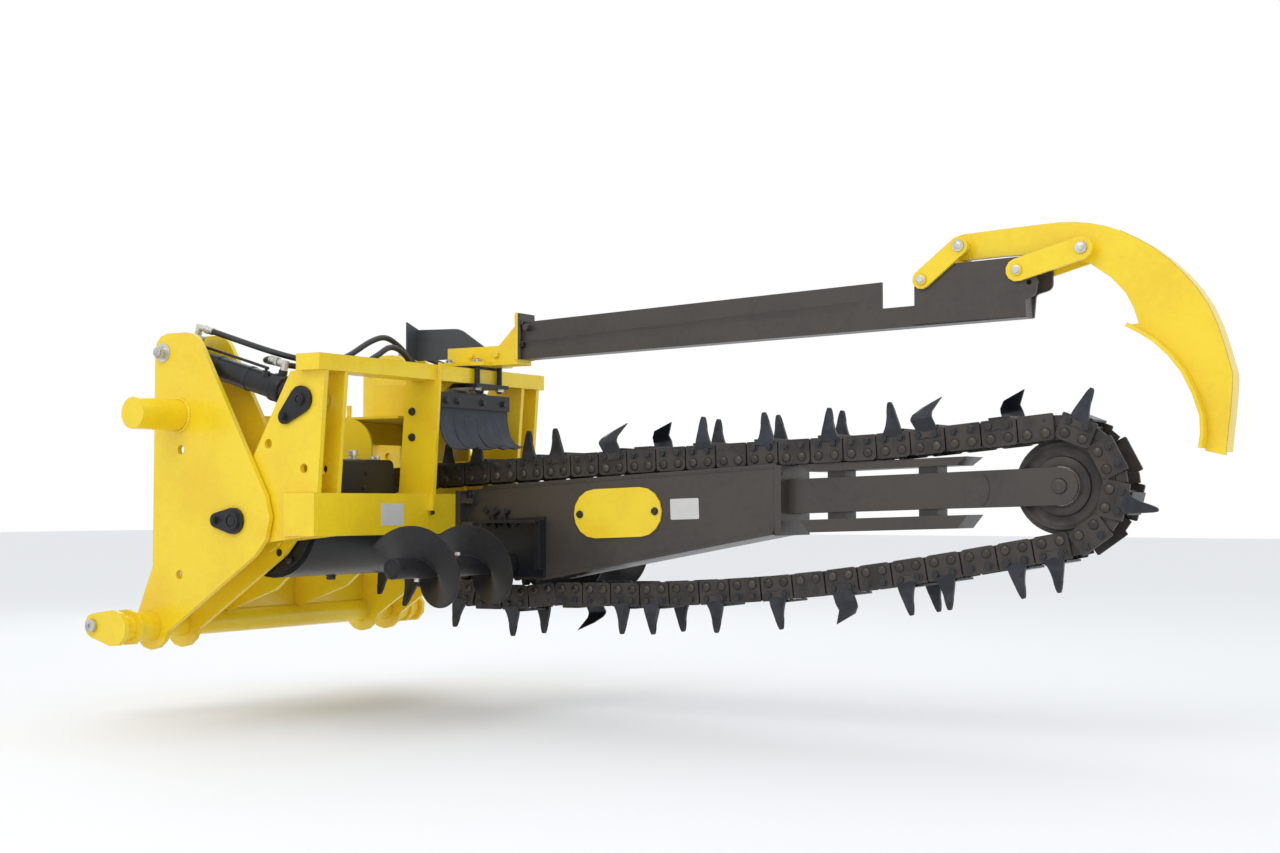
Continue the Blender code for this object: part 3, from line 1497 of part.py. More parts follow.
def make_crumber_arm():
    """The trench cleaner's arm with its stiffening blade and end plates."""
    root = BRACKET_X[1] + SEAT
    end = shifted((2.397, 0))[0]
    half = CRUMBER_WIDTH / 2

    def under(x):
        return CRUMBER_Z + (x - root) / (end - root) * CRUMBER_RISE

    tube = [
        (root + 0.004, under(root)), (end, under(end)), (end, under(end) + CRUMBER_TUBE),
        (root + 0.004, under(root) + CRUMBER_TUBE),
    ]
    blade_end = shifted((1.979, 0))[0]
    blade = [
        (root + 0.005, under(root) + CRUMBER_TUBE - 0.002),
        (blade_end, under(blade_end) + CRUMBER_TUBE - 0.002),
        (blade_end, under(blade_end) + CRUMBER_TUBE + 0.074),
        (root + 0.005, under(root) + CRUMBER_TUBE + 0.060),
    ]
    plates = []
    near_plate = [
        shifted(p) for p in (
            (2.081, 0.592), (2.081, 0.748, 0.040), (2.180, 0.752), (2.400, 0.758, 0.020),
            (2.432, 0.690), (2.425, 0.652, 0.016),
            (2.399, 0.644), (2.399, 0.598),
        )
    ]
    far_plate = [
        shifted(p) for p in (
            (2.081, 0.592), (2.081, 0.748, 0.040), (2.180, 0.752), (2.430, 0.758, 0.020),
            (2.452, 0.740), (2.452, 0.672, 0.020),
            (2.405, 0.660, 0.012), (2.399, 0.598),
        )
    ]
    for outline, side in ((near_plate, -1), (far_plate, 1)):
        low, high = sorted((BOOM_PLANE + side * (half - 0.001), BOOM_PLANE + side * (half + SIDE_PLATE)))
        plates.append(prism(rounded(outline, 4), low, high))
    reach = half + SIDE_PLATE
    holes = [
        hole(pin, BOOM_PLANE - reach - 0.005, BOOM_PLANE + reach + 0.005, LINK_PIN_R, 10)
        for pin in (FRONT_LINK[0], REAR_LINK[0])
    ]
    holes.append(
        cross_bar(
            shifted((2.408, 0.688)), BOOM_PLANE - reach - 0.005, BOOM_PLANE - half + 0.005, 0.008,
            10,
        )
    )
    piece(
        "crumber_arm",
        BLACK,
        "swing",
        [
            prism(tube, BOOM_PLANE - half, BOOM_PLANE + half),
            prism(blade, BOOM_PLANE - half + 0.002, BOOM_PLANE - half + 0.012),
            box((root, root + 0.010), (BOOM_PLANE - 0.039, BOOM_PLANE + 0.039), (0.553, 0.698)),
            box(
                (root + 0.002, root + 0.060), (BOOM_PLANE - half + 0.002, BOOM_PLANE + 0.030),
                (0.606, 0.640),
            ),
            bar(
                (root + 0.034, BOOM_PLANE - half - 0.020, 0.652),
                (root + 0.034, BOOM_PLANE - half + 0.004, 0.652), 0.011, 6,
            ),
            *plates,
        ],
        holes,
    )


def make_links():
    """Each pair of link plates with the pin that is welded through them at the arm."""
    inner = CRUMBER_WIDTH / 2 + SIDE_PLATE + 0.001
    reach = inner + LINK_PLATE + 0.001
    for name, ends, radius, play in (
        ("front", FRONT_LINK, 0.026, 0.0),
        ("rear", REAR_LINK, 0.031, OPEN_PIVOT_GAP),
    ):
        adds = [headed_pin(ends[0], reach)]
        cuts = []
        for side in SIDES.values():
            low, high = sorted((BOOM_PLANE + side * inner, BOOM_PLANE + side * (inner + LINK_PLATE)))
            adds.append(prism(teardrop(ends[0], radius, ends[1], radius - 0.0001, 6), low, high))
            cuts.append(hole(ends[1], low - 0.003, high + 0.003, LINK_PIN_R + play, 10))
        piece(f"{name}_links", YELLOW, f"{name}_links", adds, cuts)
        piece(f"{name}_shoe_pin", ZINC, "crumber_shoe", [headed_pin(ends[1], reach + SEAT)])


def headed_pin(place, reach):
    """A pin across the trench cleaner with a flat head at each end, as one turned outline."""
    head = 0.016
    profile = [
        (0, -reach - 0.005), (head, -reach - 0.005), (head, -reach), (LINK_PIN_R, -reach),
        (LINK_PIN_R, reach), (head, reach), (head, reach + 0.005), (0, reach + 0.005),
    ]
    return turned([(r, y + BOOM_PLANE) for r, y in profile], place, 10)


SHOE_OUTER = (
    (2.215, 0.834), (2.400, 0.842), (2.527, 0.842), (2.645, 0.810), (2.769, 0.727), (2.867, 0.605),
    (2.918, 0.455), (2.924, 0.389), (2.905, 0.221),
)
SHOE_INNER = ((2.855, 0.233), (2.859, 0.321), (2.813, 0.437), (2.742, 0.518), (2.670, 0.563))
SHOE_HEEL = ((2.691, 0.565), (2.659, 0.645), (2.568, 0.727), (2.427, 0.764), (2.215, 0.762))


def make_shoe():
    """The trench cleaner's curved shoe and its two pins."""
    outer = smooth([shifted(p) for p in SHOE_OUTER], 3)
    inner = smooth([shifted(p) for p in SHOE_INNER], 2)
    heel = smooth([shifted(p) for p in SHOE_HEEL], 2)
    half_web = WEB / 2
    front = arc(FRONT_LINK[1], 0.036, 270, 90, 6)
    web = outer + inner + heel[:-1] + front
    blade = [shifted((2.8545, 0.2390)), *inner[1:]]
    back = [*outer[9:-1], shifted((2.9065, 0.2300))]
    boss = CRUMBER_WIDTH / 2 + SIDE_PLATE - 0.0005
    piece(
        "crumber_shoe",
        YELLOW,
        "crumber_shoe",
        [
            prism(web, BOOM_PLANE - half_web, BOOM_PLANE + half_web),
            prism(band(blade, -0.002, 0.008), BOOM_PLANE - 0.045, BOOM_PLANE + 0.045),
            prism(band(back, -0.009, 0.001), BOOM_PLANE - half_web + 0.001, BOOM_PLANE + 0.060),
            cross_bar(FRONT_LINK[1], BOOM_PLANE - boss, BOOM_PLANE + boss, 0.020, 10),
            cross_bar(REAR_LINK[1], BOOM_PLANE - boss, BOOM_PLANE + boss, 0.020, 10),
        ],
        [
            hole(pin, BOOM_PLANE - boss - 0.010, BOOM_PLANE + boss + 0.010, LINK_PIN_R, 10)
            for pin in (FRONT_LINK[1], REAR_LINK[1])
        ],
    )


# ---------------------------------------------------------------- the whole machine
def main():
    """Clears the scene, sets the joint frames and builds every piece."""
    for old in list(bpy.data.objects):
        bpy.data.objects.remove(old)
    frame_at("hitch", (0.0, 0.0))
    frame_at("swing", PIVOT, above="hitch")
    frame_at("pto_input", (0.0, PTO_Z), above="hitch")
    frame_at("head_shaft", PIVOT, BOOM_PLANE, above="hitch")
    for name, side in SIDES.items():
        frame_at(f"{name}_barrel", CYLINDER_TOP, side * CYLINDER_Y, above="hitch")
        frame_at(f"{name}_rod", CYLINDER_ROD_PIN, side * CYLINDER_Y, above="swing")
    frame_at("tension_arm", (BOOM_END, arm_line(BOOM_END)), BOOM_PLANE, above="swing")
    frame_at("nose_wheel", NOSE, BOOM_PLANE, above="tension_arm")
    frame_at("augers", AUGER, BOOM_PLANE, above="swing")
    frame_at("front_links", FRONT_LINK[0], BOOM_PLANE, above="swing")
    frame_at("rear_links", REAR_LINK[0], BOOM_PLANE, above="swing")
    frame_at("crumber_shoe", FRONT_LINK[1], BOOM_PLANE, above="front_links")
    make_hitch_frame()
    make_pins()
    make_gearbox()
    make_swing_frame()
    make_hood()
    make_flap()
    make_cylinders()
    make_hoses()
    make_boom()
    make_rails()
    make_nose()
    make_chain()
    make_augers()
    make_crumber_mount()
    make_crumber_arm()
    make_links()
    make_shoe()


main()
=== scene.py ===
"""Looks for a tractor-mounted chain trencher: paint, chain, augers, rubber and fastenings.

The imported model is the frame. Each class below is one sub-assembly: it holds its sizes, builds its
pieces in metres in the frame's axes, and says which body each piece moves with.
"""

from __future__ import annotations

import logging
import math
import random
from dataclasses import dataclass, field
from enum import Enum
from typing import Iterable, Mapping, Sequence, Union

import bmesh
import bpy
from bmesh.types import BMVert
from bpy.types import ID, Material, Node, NodeSocket, NodeTree, Object
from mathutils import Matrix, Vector

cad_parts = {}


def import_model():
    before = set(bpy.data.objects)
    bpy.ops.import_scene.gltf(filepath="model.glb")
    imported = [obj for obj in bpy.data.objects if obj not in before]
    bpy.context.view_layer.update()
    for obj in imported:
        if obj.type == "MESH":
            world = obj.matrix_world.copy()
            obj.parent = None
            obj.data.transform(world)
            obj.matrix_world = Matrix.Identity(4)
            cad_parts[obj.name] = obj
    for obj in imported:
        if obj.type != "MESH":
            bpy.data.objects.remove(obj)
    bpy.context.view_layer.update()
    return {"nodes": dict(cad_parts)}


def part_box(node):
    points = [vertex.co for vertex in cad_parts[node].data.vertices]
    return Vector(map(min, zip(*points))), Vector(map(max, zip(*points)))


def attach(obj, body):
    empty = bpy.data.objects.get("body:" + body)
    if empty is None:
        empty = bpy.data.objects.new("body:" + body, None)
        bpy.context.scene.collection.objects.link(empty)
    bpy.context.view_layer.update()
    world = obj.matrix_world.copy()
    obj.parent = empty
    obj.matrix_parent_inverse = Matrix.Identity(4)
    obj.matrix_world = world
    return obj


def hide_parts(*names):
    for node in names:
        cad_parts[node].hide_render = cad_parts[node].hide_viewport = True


LOG = logging.getLogger("trencher")

Point = Union[tuple[float, float, float], Vector]
Flat = tuple[float, float]
Colour = tuple[float, float, float]

BOOM_PLANE = 0.229  # y of the boom, the chain and the trench cleaner
PIVOT = (0.261, 0.049)  # x, z of the swing axis
NOSE = (2.488, 0.145)  # x, z of the nose wheel
AUGER = (0.76, -0.085)  # x, z of the augers' shaft
CYLINDER_TOP = (-0.041, 0.555)  # x, z of the pins that hold the barrels
CYLINDER_FOOT = (0.501, 0.398)  # x, z of the pins that hold the rods
CYLINDER_Y = 0.48  # y of each cylinder, to either side
GROUND = -0.547  # z of the floor
SHARP = 33.0  # edges of the frame's nodes sharper than this, in degrees, stay crisp
JOINED = 1e-5  # corners of the frame's nodes closer than this are one


# ---- shader maths
class Signal:
    """A number that changes over a surface; ordinary operators add the Math nodes."""

    def __init__(self, graph: "Graph", socket: NodeSocket) -> None:
        """Keep the graph and the socket the number comes from."""
        self.graph = graph
        self.socket = socket

    def _math(self, operation: str, *values: "Signal | float") -> "Signal":
        """One Math node.

        Args:
            operation: the node's operation.
            values: the operands in order.

        Returns:
            The node's result.
        """
        links = {i: v.socket if isinstance(v, Signal) else v for i, v in enumerate(values)}
        made = self.graph.node("ShaderNodeMath", {"operation": operation}, links)
        return Signal(self.graph, made.outputs[0])

    def __add__(self, other: "Signal | float") -> "Signal":
        """Sum."""
        return self._math("ADD", self, other)

    __radd__ = __add__

    def __sub__(self, other: "Signal | float") -> "Signal":
        """Difference."""
        return self._math("SUBTRACT", self, other)

    def __rsub__(self, other: "Signal | float") -> "Signal":
        """Difference from a plain number."""
        return self._math("SUBTRACT", other, self)

    def __mul__(self, other: "Signal | float") -> "Signal":
        """Product."""
        return self._math("MULTIPLY", self, other)

    __rmul__ = __mul__

    def larger(self, other: "Signal | float") -> "Signal":
        """The larger of two."""
        return self._math("MAXIMUM", self, other)

    def band(self, low: float, high: float) -> "Signal":
        """Zero below one limit, one above another, smooth between.

        Args:
            low: the lower limit.
            high: the upper limit.

        Returns:
            The stepped number.
        """
        made = self.graph.node(
            "ShaderNodeMapRange",
            {"interpolation_type": "SMOOTHSTEP"},
            {"Value": self.socket, "From Min": low, "From Max": high},
        )
        return Signal(self.graph, made.outputs["Result"])


class Graph:
    """A node tree. Every node of every tree comes from its node method."""

    def __init__(self, tree: NodeTree) -> None:
        """Take over a tree and empty it."""
        self.tree = tree
        self.tree.nodes.clear()

    def node(
        self,
        kind: str,
        settings: Mapping[str, object] | None = None,
        sockets: Mapping[str | int, object] | None = None,
    ) -> Node:
        """Any node, with its settings first and its sockets after.

        Args:
            kind: the node's type.
            settings: properties of the node.
            sockets: a value or a link for each input, by name or number.

        Returns:
            The node.
        """
        made = self.tree.nodes.new(kind)
        for name, value in (settings or {}).items():
            setattr(made, name, value)
        for name, value in (sockets or {}).items():
            if isinstance(value, Signal):
                value = value.socket
            if isinstance(value, NodeSocket):
                self.tree.links.new(value, made.inputs[name])
            else:
                made.inputs[name].default_value = value
        return made


class Surface(Graph):
    """The node tree of one material."""

    def __init__(self, name: str) -> None:
        """Make an empty material whose patterns are fixed to the piece."""
        self.material = bpy.data.materials.new(name)
        self.material.use_nodes = True
        super().__init__(self.material.node_tree)
        self.place = self.node("ShaderNodeTexCoord").outputs["Object"]

    def noise(self, scale: float, detail: float = 3.0, stretch: Point = (1.0, 1.0, 1.0)) -> Signal:
        """Cloudy noise fixed to the piece.

        Args:
            scale: features per metre.
            detail: octaves of finer noise.
            stretch: how much the pattern is squeezed along each axis.

        Returns:
            The noise, about 0.5 on average.
        """
        mapped = self.node("ShaderNodeMapping", None, {"Vector": self.place, "Scale": stretch}).outputs[0]
        sockets = {"Vector": mapped, "Scale": scale, "Detail": detail, "Roughness": 0.6}
        return Signal(self, self.node("ShaderNodeTexNoise", None, sockets).outputs[0])

    def colour(self, amount: Signal, low: Colour | NodeSocket, high: Colour) -> NodeSocket:
        """A colour that goes from one to another.

        Args:
            amount: share of the second colour.
            low: the first colour, or a link that gives it.
            high: the second colour.

        Returns:
            The mixed colour.
        """
        first = low if isinstance(low, NodeSocket) else (*low, 1.0)
        made = self.node("ShaderNodeMix", {"data_type": "RGBA"}, {0: amount, 6: first, 7: (*high, 1.0)})
        return made.outputs[2]

    def rounded(self, radius: float) -> Node:
        """The normal with every edge eased by a radius."""
        return self.node("ShaderNodeBevel", {"samples": 4}, {"Radius": radius})

    def edges(self, soft: Node, gain: float) -> Signal:
        """How strongly a point lies on an outer or inner edge.

        Args:
            soft: the node that gives the eased normal.
            gain: strength of the answer.

        Returns:
            Zero on flat faces, larger near edges.
        """
        true = self.node("ShaderNodeNewGeometry").outputs["True Normal"]
        dot = self.node("ShaderNodeVectorMath", {"operation": "DOT_PRODUCT"}, {0: soft.outputs[0], 1: true})
        return (1.0 - Signal(self, dot.outputs["Value"])) * gain

    def close(
        self,
        base: NodeSocket | Colour,
        roughness: Signal | float,
        metallic: Signal | float = 0.0,
        height: Signal | None = None,
        depth: float = 0.0004,
        soft: Node | None = None,
        coat: float = 0.0,
        specular: float = 0.5,
    ) -> Material:
        """Finish the material with its shader.

        Args:
            base: base colour, or a link that gives it.
            roughness: roughness of the surface.
            metallic: share of bare metal.
            height: a height pattern that becomes bump.
            depth: depth of that pattern in metres.
            soft: a node that gives the eased normal.
            coat: weight of a clear coat.
            specular: strength of the mirror-like part.

        Returns:
            The finished material.
        """
        sockets: dict[str | int, object] = {
            "Base Color": base if isinstance(base, NodeSocket) else (*base, 1.0),
            "Roughness": roughness,
            "Metallic": metallic,
            "Coat Weight": coat,
            "Coat Roughness": 0.12,
            "Specular IOR Level": specular,
        }
        if height is not None:
            links: dict[str | int, object] = {"Height": height, "Distance": depth, "Strength": 0.6}
            if soft is not None:
                links["Normal"] = soft.outputs[0]
            sockets["Normal"] = self.node("ShaderNodeBump", None, links).outputs[0]
        elif soft is not None:
            sockets["Normal"] = soft.outputs[0]
        shader = self.node("ShaderNodeBsdfPrincipled", None, sockets)
        self.node("ShaderNodeOutputMaterial", None, {"Surface": shader.outputs[0]})
        return self.material


# ---- finishes
@dataclass(frozen=True)
class Paint:
    """Sprayed paint over steel, a little dusty, with chips along the edges."""

    name: str
    slot: str
    colour: Colour
    shade: Colour
    roughness: float
    coat: float
    chips: float
    bare: Colour = (0.16, 0.13, 0.1)
    easing: float = 0.0022
    specular: float = 0.5

    def material(self) -> Material:
        """Build the shader of the paint.

        Returns:
            The material.
        """
        g = Surface(self.name)
        soft = g.rounded(self.easing)
        cloud = g.noise(5.0, 4.0)
        fine = g.noise(60.0, 4.0)
        speck = g.noise(420.0, 2.0)
        tone = g.colour((cloud * 0.7 + fine * 0.3).band(0.4, 0.68), self.colour, self.shade)
        worn = (g.edges(soft, 3.0) + speck * 0.5 + fine * 0.5 - 0.95 + self.chips).band(0.32, 0.42)
        pits = (speck * 0.6 + fine * 0.4).band(0.7 - self.chips * 0.1, 0.73 - self.chips * 0.1)
        chip = worn.larger(pits * 0.8)
        base = g.colour(chip * 0.85, tone, self.bare)
        rough = fine * 0.16 + (self.roughness - 0.08) + chip * 0.25
        height = fine * 0.6 + speck * 0.2 - chip * 0.8
        return g.close(base, rough, 0.0, height, 0.0005, soft, self.coat, self.specular)


@dataclass(frozen=True)
class Bare:
    """Bare or plated metal: brushed tone, stains and brighter edges."""

    name: str
    slot: str
    colour: Colour
    stain: Colour
    bright: Colour
    roughness: float
    metallic: float
    wear: float = 0.3
    easing: float = 0.0012

    def material(self) -> Material:
        """Build the shader of the metal.

        Returns:
            The material.
        """
        g = Surface(self.name)
        soft = g.rounded(self.easing)
        cloud = g.noise(14.0, 5.0)
        grain = g.noise(260.0, 3.0)
        tone = g.colour(cloud.band(0.4, 0.66), self.colour, self.stain)
        rub = (g.edges(soft, 3.0) + grain * 0.6 - 0.62 + self.wear).band(0.2, 0.5)
        base = g.colour(rub * 0.8, tone, self.bright)
        rough = cloud * 0.2 + grain * 0.14 + (self.roughness - 0.15) - rub * 0.1
        return g.close(base, rough, self.metallic, grain * 0.5 + cloud * 0.5, 0.0006, soft)


@dataclass(frozen=True)
class Rubber:
    """Matte rubber with a faint wrapped or ribbed surface and pale dust."""

    name: str
    slot: str
    colour: Colour
    dust: Colour
    roughness: float
    ribs: Point = (1.0, 1.0, 1.0)

    def material(self) -> Material:
        """Build the shader of the rubber.

        Returns:
            The material.
        """
        g = Surface(self.name)
        cloud = g.noise(22.0, 4.0)
        streak = g.noise(90.0, 3.0, self.ribs)
        grain = g.noise(700.0, 2.0)
        base = g.colour((cloud * 0.5 + streak * 0.5).band(0.45, 0.72) * 0.8, self.colour, self.dust)
        rough = cloud * 0.2 + (self.roughness - 0.1)
        return g.close(base, rough, 0.0, streak * 0.7 + grain * 0.3, 0.0008)


@dataclass(frozen=True)
class Plain:
    """A blank label plate: one neutral colour with the faint orange peel of printed film."""

    name: str
    slot: str
    colour: Colour
    roughness: float

    def material(self) -> Material:
        """Build the shader of the plate.

        Returns:
            The material.
        """
        g = Surface(self.name)
        fine = g.noise(900.0, 2.0)
        tone = g.colour(g.noise(30.0, 3.0).band(0.4, 0.7) * 0.25, self.colour, (0.52, 0.51, 0.48))
        return g.close(tone, fine * 0.1 + self.roughness, 0.0, fine, 0.0001)


class Finish(Enum):
    """The finishes of the machine."""

    YELLOW = Paint(
        "yellow_gloss_paint", "machine_yellow", (0.9, 0.66, 0.014), (0.84, 0.57, 0.01), 0.34, 0.25, 0.02,
    )
    BOOM_BLACK = Paint(
        "boom_black_paint", "satin_black", (0.05, 0.041, 0.035), (0.034, 0.029, 0.026), 0.42, 0.12, 0.05,
        (0.13, 0.11, 0.09)
    )
    COOL_BLACK = Paint(
        "cool_black_paint", "satin_black", (0.012, 0.013, 0.016), (0.02, 0.021, 0.024), 0.34, 0.0, 0.04,
        (0.1, 0.09, 0.08),
        specular=0.32,
    )
    GUARD = Paint(
        "guard_grey_paint", "satin_black", (0.052, 0.058, 0.07), (0.038, 0.043, 0.054), 0.5, 0.0, 0.05,
    )
    ZINC = Bare(
        "bright_zinc", "zinc_bright", (0.66, 0.66, 0.63), (0.42, 0.41, 0.38), (0.85, 0.85, 0.83), 0.34, 0.9,
    )
    CHAIN = Bare(
        "oiled_chain_steel", "chain_steel", (0.055, 0.047, 0.041), (0.03, 0.027, 0.026),
        (0.2, 0.18, 0.165), 0.46, 0.35
    )
    CUTTER = Bare(
        "cutter_steel", "chain_steel", (0.02, 0.022, 0.028), (0.04, 0.045, 0.058), (0.15, 0.15, 0.15),
        0.3, 0.45, 0.3
    )
    AUGER = Paint(
        "auger_black_paint", "satin_black", (0.012, 0.012, 0.014), (0.022, 0.021, 0.022), 0.38, 0.0, 0.05,
        (0.1, 0.09, 0.085),
        specular=0.28,
    )
    BOLT = Bare(
        "black_bolt", "satin_black", (0.03, 0.034, 0.042), (0.05, 0.046, 0.042), (0.16, 0.16, 0.17), 0.34,
        0.6,
    )
    RIVET = Bare(
        "worn_rivet", "chain_steel", (0.046, 0.04, 0.036), (0.085, 0.074, 0.064), (0.22, 0.2, 0.19), 0.3,
        0.65, 0.3,
    )
    WORN = Bare(
        "rubbed_steel", "chain_steel", (0.36, 0.34, 0.31), (0.2, 0.18, 0.16), (0.62, 0.6, 0.57), 0.32,
        0.9,
    )
    CHROME = Bare(
        "hard_chrome", "zinc_bright", (0.8, 0.81, 0.82), (0.7, 0.71, 0.72), (0.86, 0.87, 0.88), 0.18, 1.0,
        0.0,
    )
    HOSE = Rubber(
        "hose_cover", "rubber_black", (0.016, 0.017, 0.019), (0.05, 0.05, 0.05), 0.46, (1.0, 6.0, 1.0),
    )
    FLAP = Rubber(
        "flap_rubber", "rubber_black", (0.03, 0.036, 0.048), (0.075, 0.085, 0.105), 0.72, (2.0, 6.0, 0.4),
    )
    BLANK = Plain("blank_label", "zinc_bright", (0.6, 0.59, 0.57), 0.45)

    def made(self) -> Material:
        """The finish's material, made once."""
        found = bpy.data.materials.get(self.value.name)
        return found or self.value.material()


# ---- mesh building
def place(name: str, data: ID) -> Object:
    """Put some data into the scene.

    Args:
        name: the object's name.
        data: its mesh, curve, lamp or camera.

    Returns:
        The new object.
    """
    made = bpy.data.objects.new(name, data)
    bpy.context.scene.collection.objects.link(made)
    return made


def at_y(place: Flat, y: float) -> Point:
    """A place in x and z, moved to a y."""
    return (place[0], y, place[1])


def circle(at: Vector, axis: Sequence[float], radius: float, count: int, turn: float = 0.0) -> list[Vector]:
    """Points on a circle about an axis.

    Args:
        at: the circle's middle.
        axis: the axis's direction.
        radius: the circle's radius.
        count: points in the whole turn.
        turn: starting angle in degrees.

    Returns:
        The points, the first one not repeated.
    """
    along = Vector(axis).normalized()
    across = Vector((1, 0, 0)) if abs(along.y) > 0.9 else along.orthogonal().normalized()
    other = along.cross(across)
    angles = [2 * math.pi * i / count + math.radians(turn) for i in range(count)]
    return [at + (across * math.cos(a) + other * math.sin(a)) * radius for a in angles]


@dataclass
class Form:
    """A mesh that grows from simple solids, each already in its place."""

    bm: bmesh.types.BMesh = field(default_factory=bmesh.new)

    def ring(self, points: Iterable[Vector]) -> list[BMVert]:
        """Vertices at points, in order."""
        return [self.bm.verts.new(p) for p in points]

    def skin(self, rows: Sequence[list[BMVert]], caps: bool = True) -> None:
        """Faces between rows of vertices, and on the two ends.

        Args:
            rows: loops of vertices, all of one length.
            caps: whether the first and last rows are closed.
        """
        for here, there in zip(rows, rows[1:]):
            for j in range(len(here)):
                k = (j + 1) % len(here)
                self.bm.faces.new((here[j], here[k], there[k], there[j]))
        if caps:
            self.bm.faces.new(rows[0][::-1])
            self.bm.faces.new(rows[-1])

    def prism(self, outline: Sequence[Flat], low: float, high: float) -> None:
        """A flat outline drawn out along y.

        Args:
            outline: corners in x and z.
            low: where it starts.
            high: where it ends.
        """
        rows = [self.ring(Vector((x, y, z)) for x, z in outline) for y in (low, high)]
        self.skin(rows)

    def box(self, x: Flat, y: Flat, z: Flat) -> None:
        """A block between limits on each axis."""
        self.prism([(x[0], z[0]), (x[1], z[0]), (x[1], z[1]), (x[0], z[1])], *y)

    def turned(
        self, at: Point, axis: Point, profile: Sequence[Flat], sides: int = 32, turn: float = 0.0,
        caps: bool = True
    ) -> None:
        """A profile of (radius, distance along the axis) turned about an axis through a point.

        Args:
            at: a point on the axis.
            axis: the axis's direction.
            profile: radii and distances, in order.
            sides: flats round the axis.
            turn: starting angle in degrees.
            caps: whether both ends are closed.
        """
        foot, along = Vector(at), Vector(axis).normalized()
        rows = [self.ring(circle(foot + along * up, axis, radius, sides, turn)) for radius, up in profile]
        self.skin(rows, caps)

    def collar(
        self, at: Point, axis: Point, inner: float, outer: float, thick: float, sides: int = 40
    ) -> None:
        """A flat ring with an eased outer rim.

        Args:
            at: middle of its foot.
            axis: the way it stands up.
            inner: radius of its hole.
            outer: its own radius.
            thick: its thickness.
            sides: flats round it.
        """
        e = min(thick, outer - inner) * 0.22
        profile = [
            (inner, 0.0), (outer - e, 0.0), (outer, e), (outer, thick - e), (outer - e, thick),
            (inner, thick),
        ]
        self.turned(at, axis, [*profile, profile[0]], sides, caps=False)

    def bolt(self, at: Point, axis: Point, across: float, height: float, turn: float = 12.0) -> None:
        """A hexagon head on its washer, with a chamfered top.

        Args:
            at: middle of the washer's foot.
            axis: the way the head stands up.
            across: its width over the flats.
            height: its height with the washer.
            turn: angle of the flats in degrees.
        """
        r = across / 2
        washer = [
            (r * 1.28, 0.0), (r * 1.28, height * 0.16), (r * 1.2, height * 0.2), (r * 0.7, height * 0.2),
        ]
        self.turned(at, axis, washer, 20)
        head = [
            (r * 1.06, height * 0.19), (r * 1.1, height * 0.26), (r * 1.1, height * 0.84),
            (r * 0.96, height), (r * 0.3, height),
        ]
        self.turned(at, axis, head, 6, turn)

    def dome(self, at: Point, axis: Point, radius: float, height: float, sides: int = 18) -> None:
        """A rivet head: a low dome with a small flat.

        Args:
            at: middle of its foot.
            axis: the way it stands up.
            radius: radius of its foot.
            height: its height.
            sides: flats round it.
        """
        steps = 5
        profile = [(radius, 0.0), (radius, height * 0.25)]
        for i in range(1, steps):
            a = math.pi / 2 * i / steps
            profile.append((radius * math.cos(a), height * (0.25 + 0.75 * math.sin(a))))
        self.turned(at, axis, [*profile, (radius * 0.18, height)], sides)

    def tube(self, points: Sequence[Point], radius: float | Sequence[float], sides: int = 12) -> None:
        """A round tube.

        Args:
            points: points of its centreline.
            radius: one radius, or one for each point.
            sides: flats round it.
        """
        path = [Vector(p) for p in points]
        radii = [radius] * len(path) if isinstance(radius, (int, float)) else list(radius)
        ahead = (path[1] - path[0]).normalized()
        across = ahead.orthogonal().normalized()
        angles = [2 * math.pi * k / sides for k in range(sides)]
        rows = []
        for i, at in enumerate(path):
            run = (path[min(i + 1, len(path) - 1)] - path[max(i - 1, 0)]).normalized()
            across = (across - run * across.dot(run)).normalized()
            other = run.cross(across)
            rows.append(
                self.ring(at + (across * math.cos(a) + other * math.sin(a)) * radii[i] for a in angles)
            )
        self.skin(rows)

    def weld(self, points: Sequence[Point], radius: float, seed: int = 1) -> None:
        """A weld bead: a rippled rope of metal.

        Args:
            points: corners of its line.
            radius: half its thickness.
            seed: start of its random ripple.
        """
        rng = random.Random(seed)
        path: list[Vector] = []
        for a, b in zip(points, points[1:]):
            start, end = Vector(a), Vector(b)
            steps = max(2, int((end - start).length / (radius * 0.9)))
            path += [start.lerp(end, i / steps) for i in range(steps)]
        path.append(Vector(points[-1]))
        radii = [radius * (0.82 + 0.3 * (i % 2) + rng.uniform(-0.08, 0.08)) for i in range(len(path))]
        self.tube(path, radii, 7)

    def weld_ring(self, at: Point, axis: Point, around: float, radius: float, seed: int = 1) -> None:
        """A weld bead round a tube.

        Args:
            at: middle of its circle.
            axis: the tube's direction.
            around: radius of its circle.
            radius: half the bead's thickness.
            seed: start of its random ripple.
        """
        line = circle(Vector(at), axis, around, 40)
        self.weld([*line, line[0]], radius, seed)

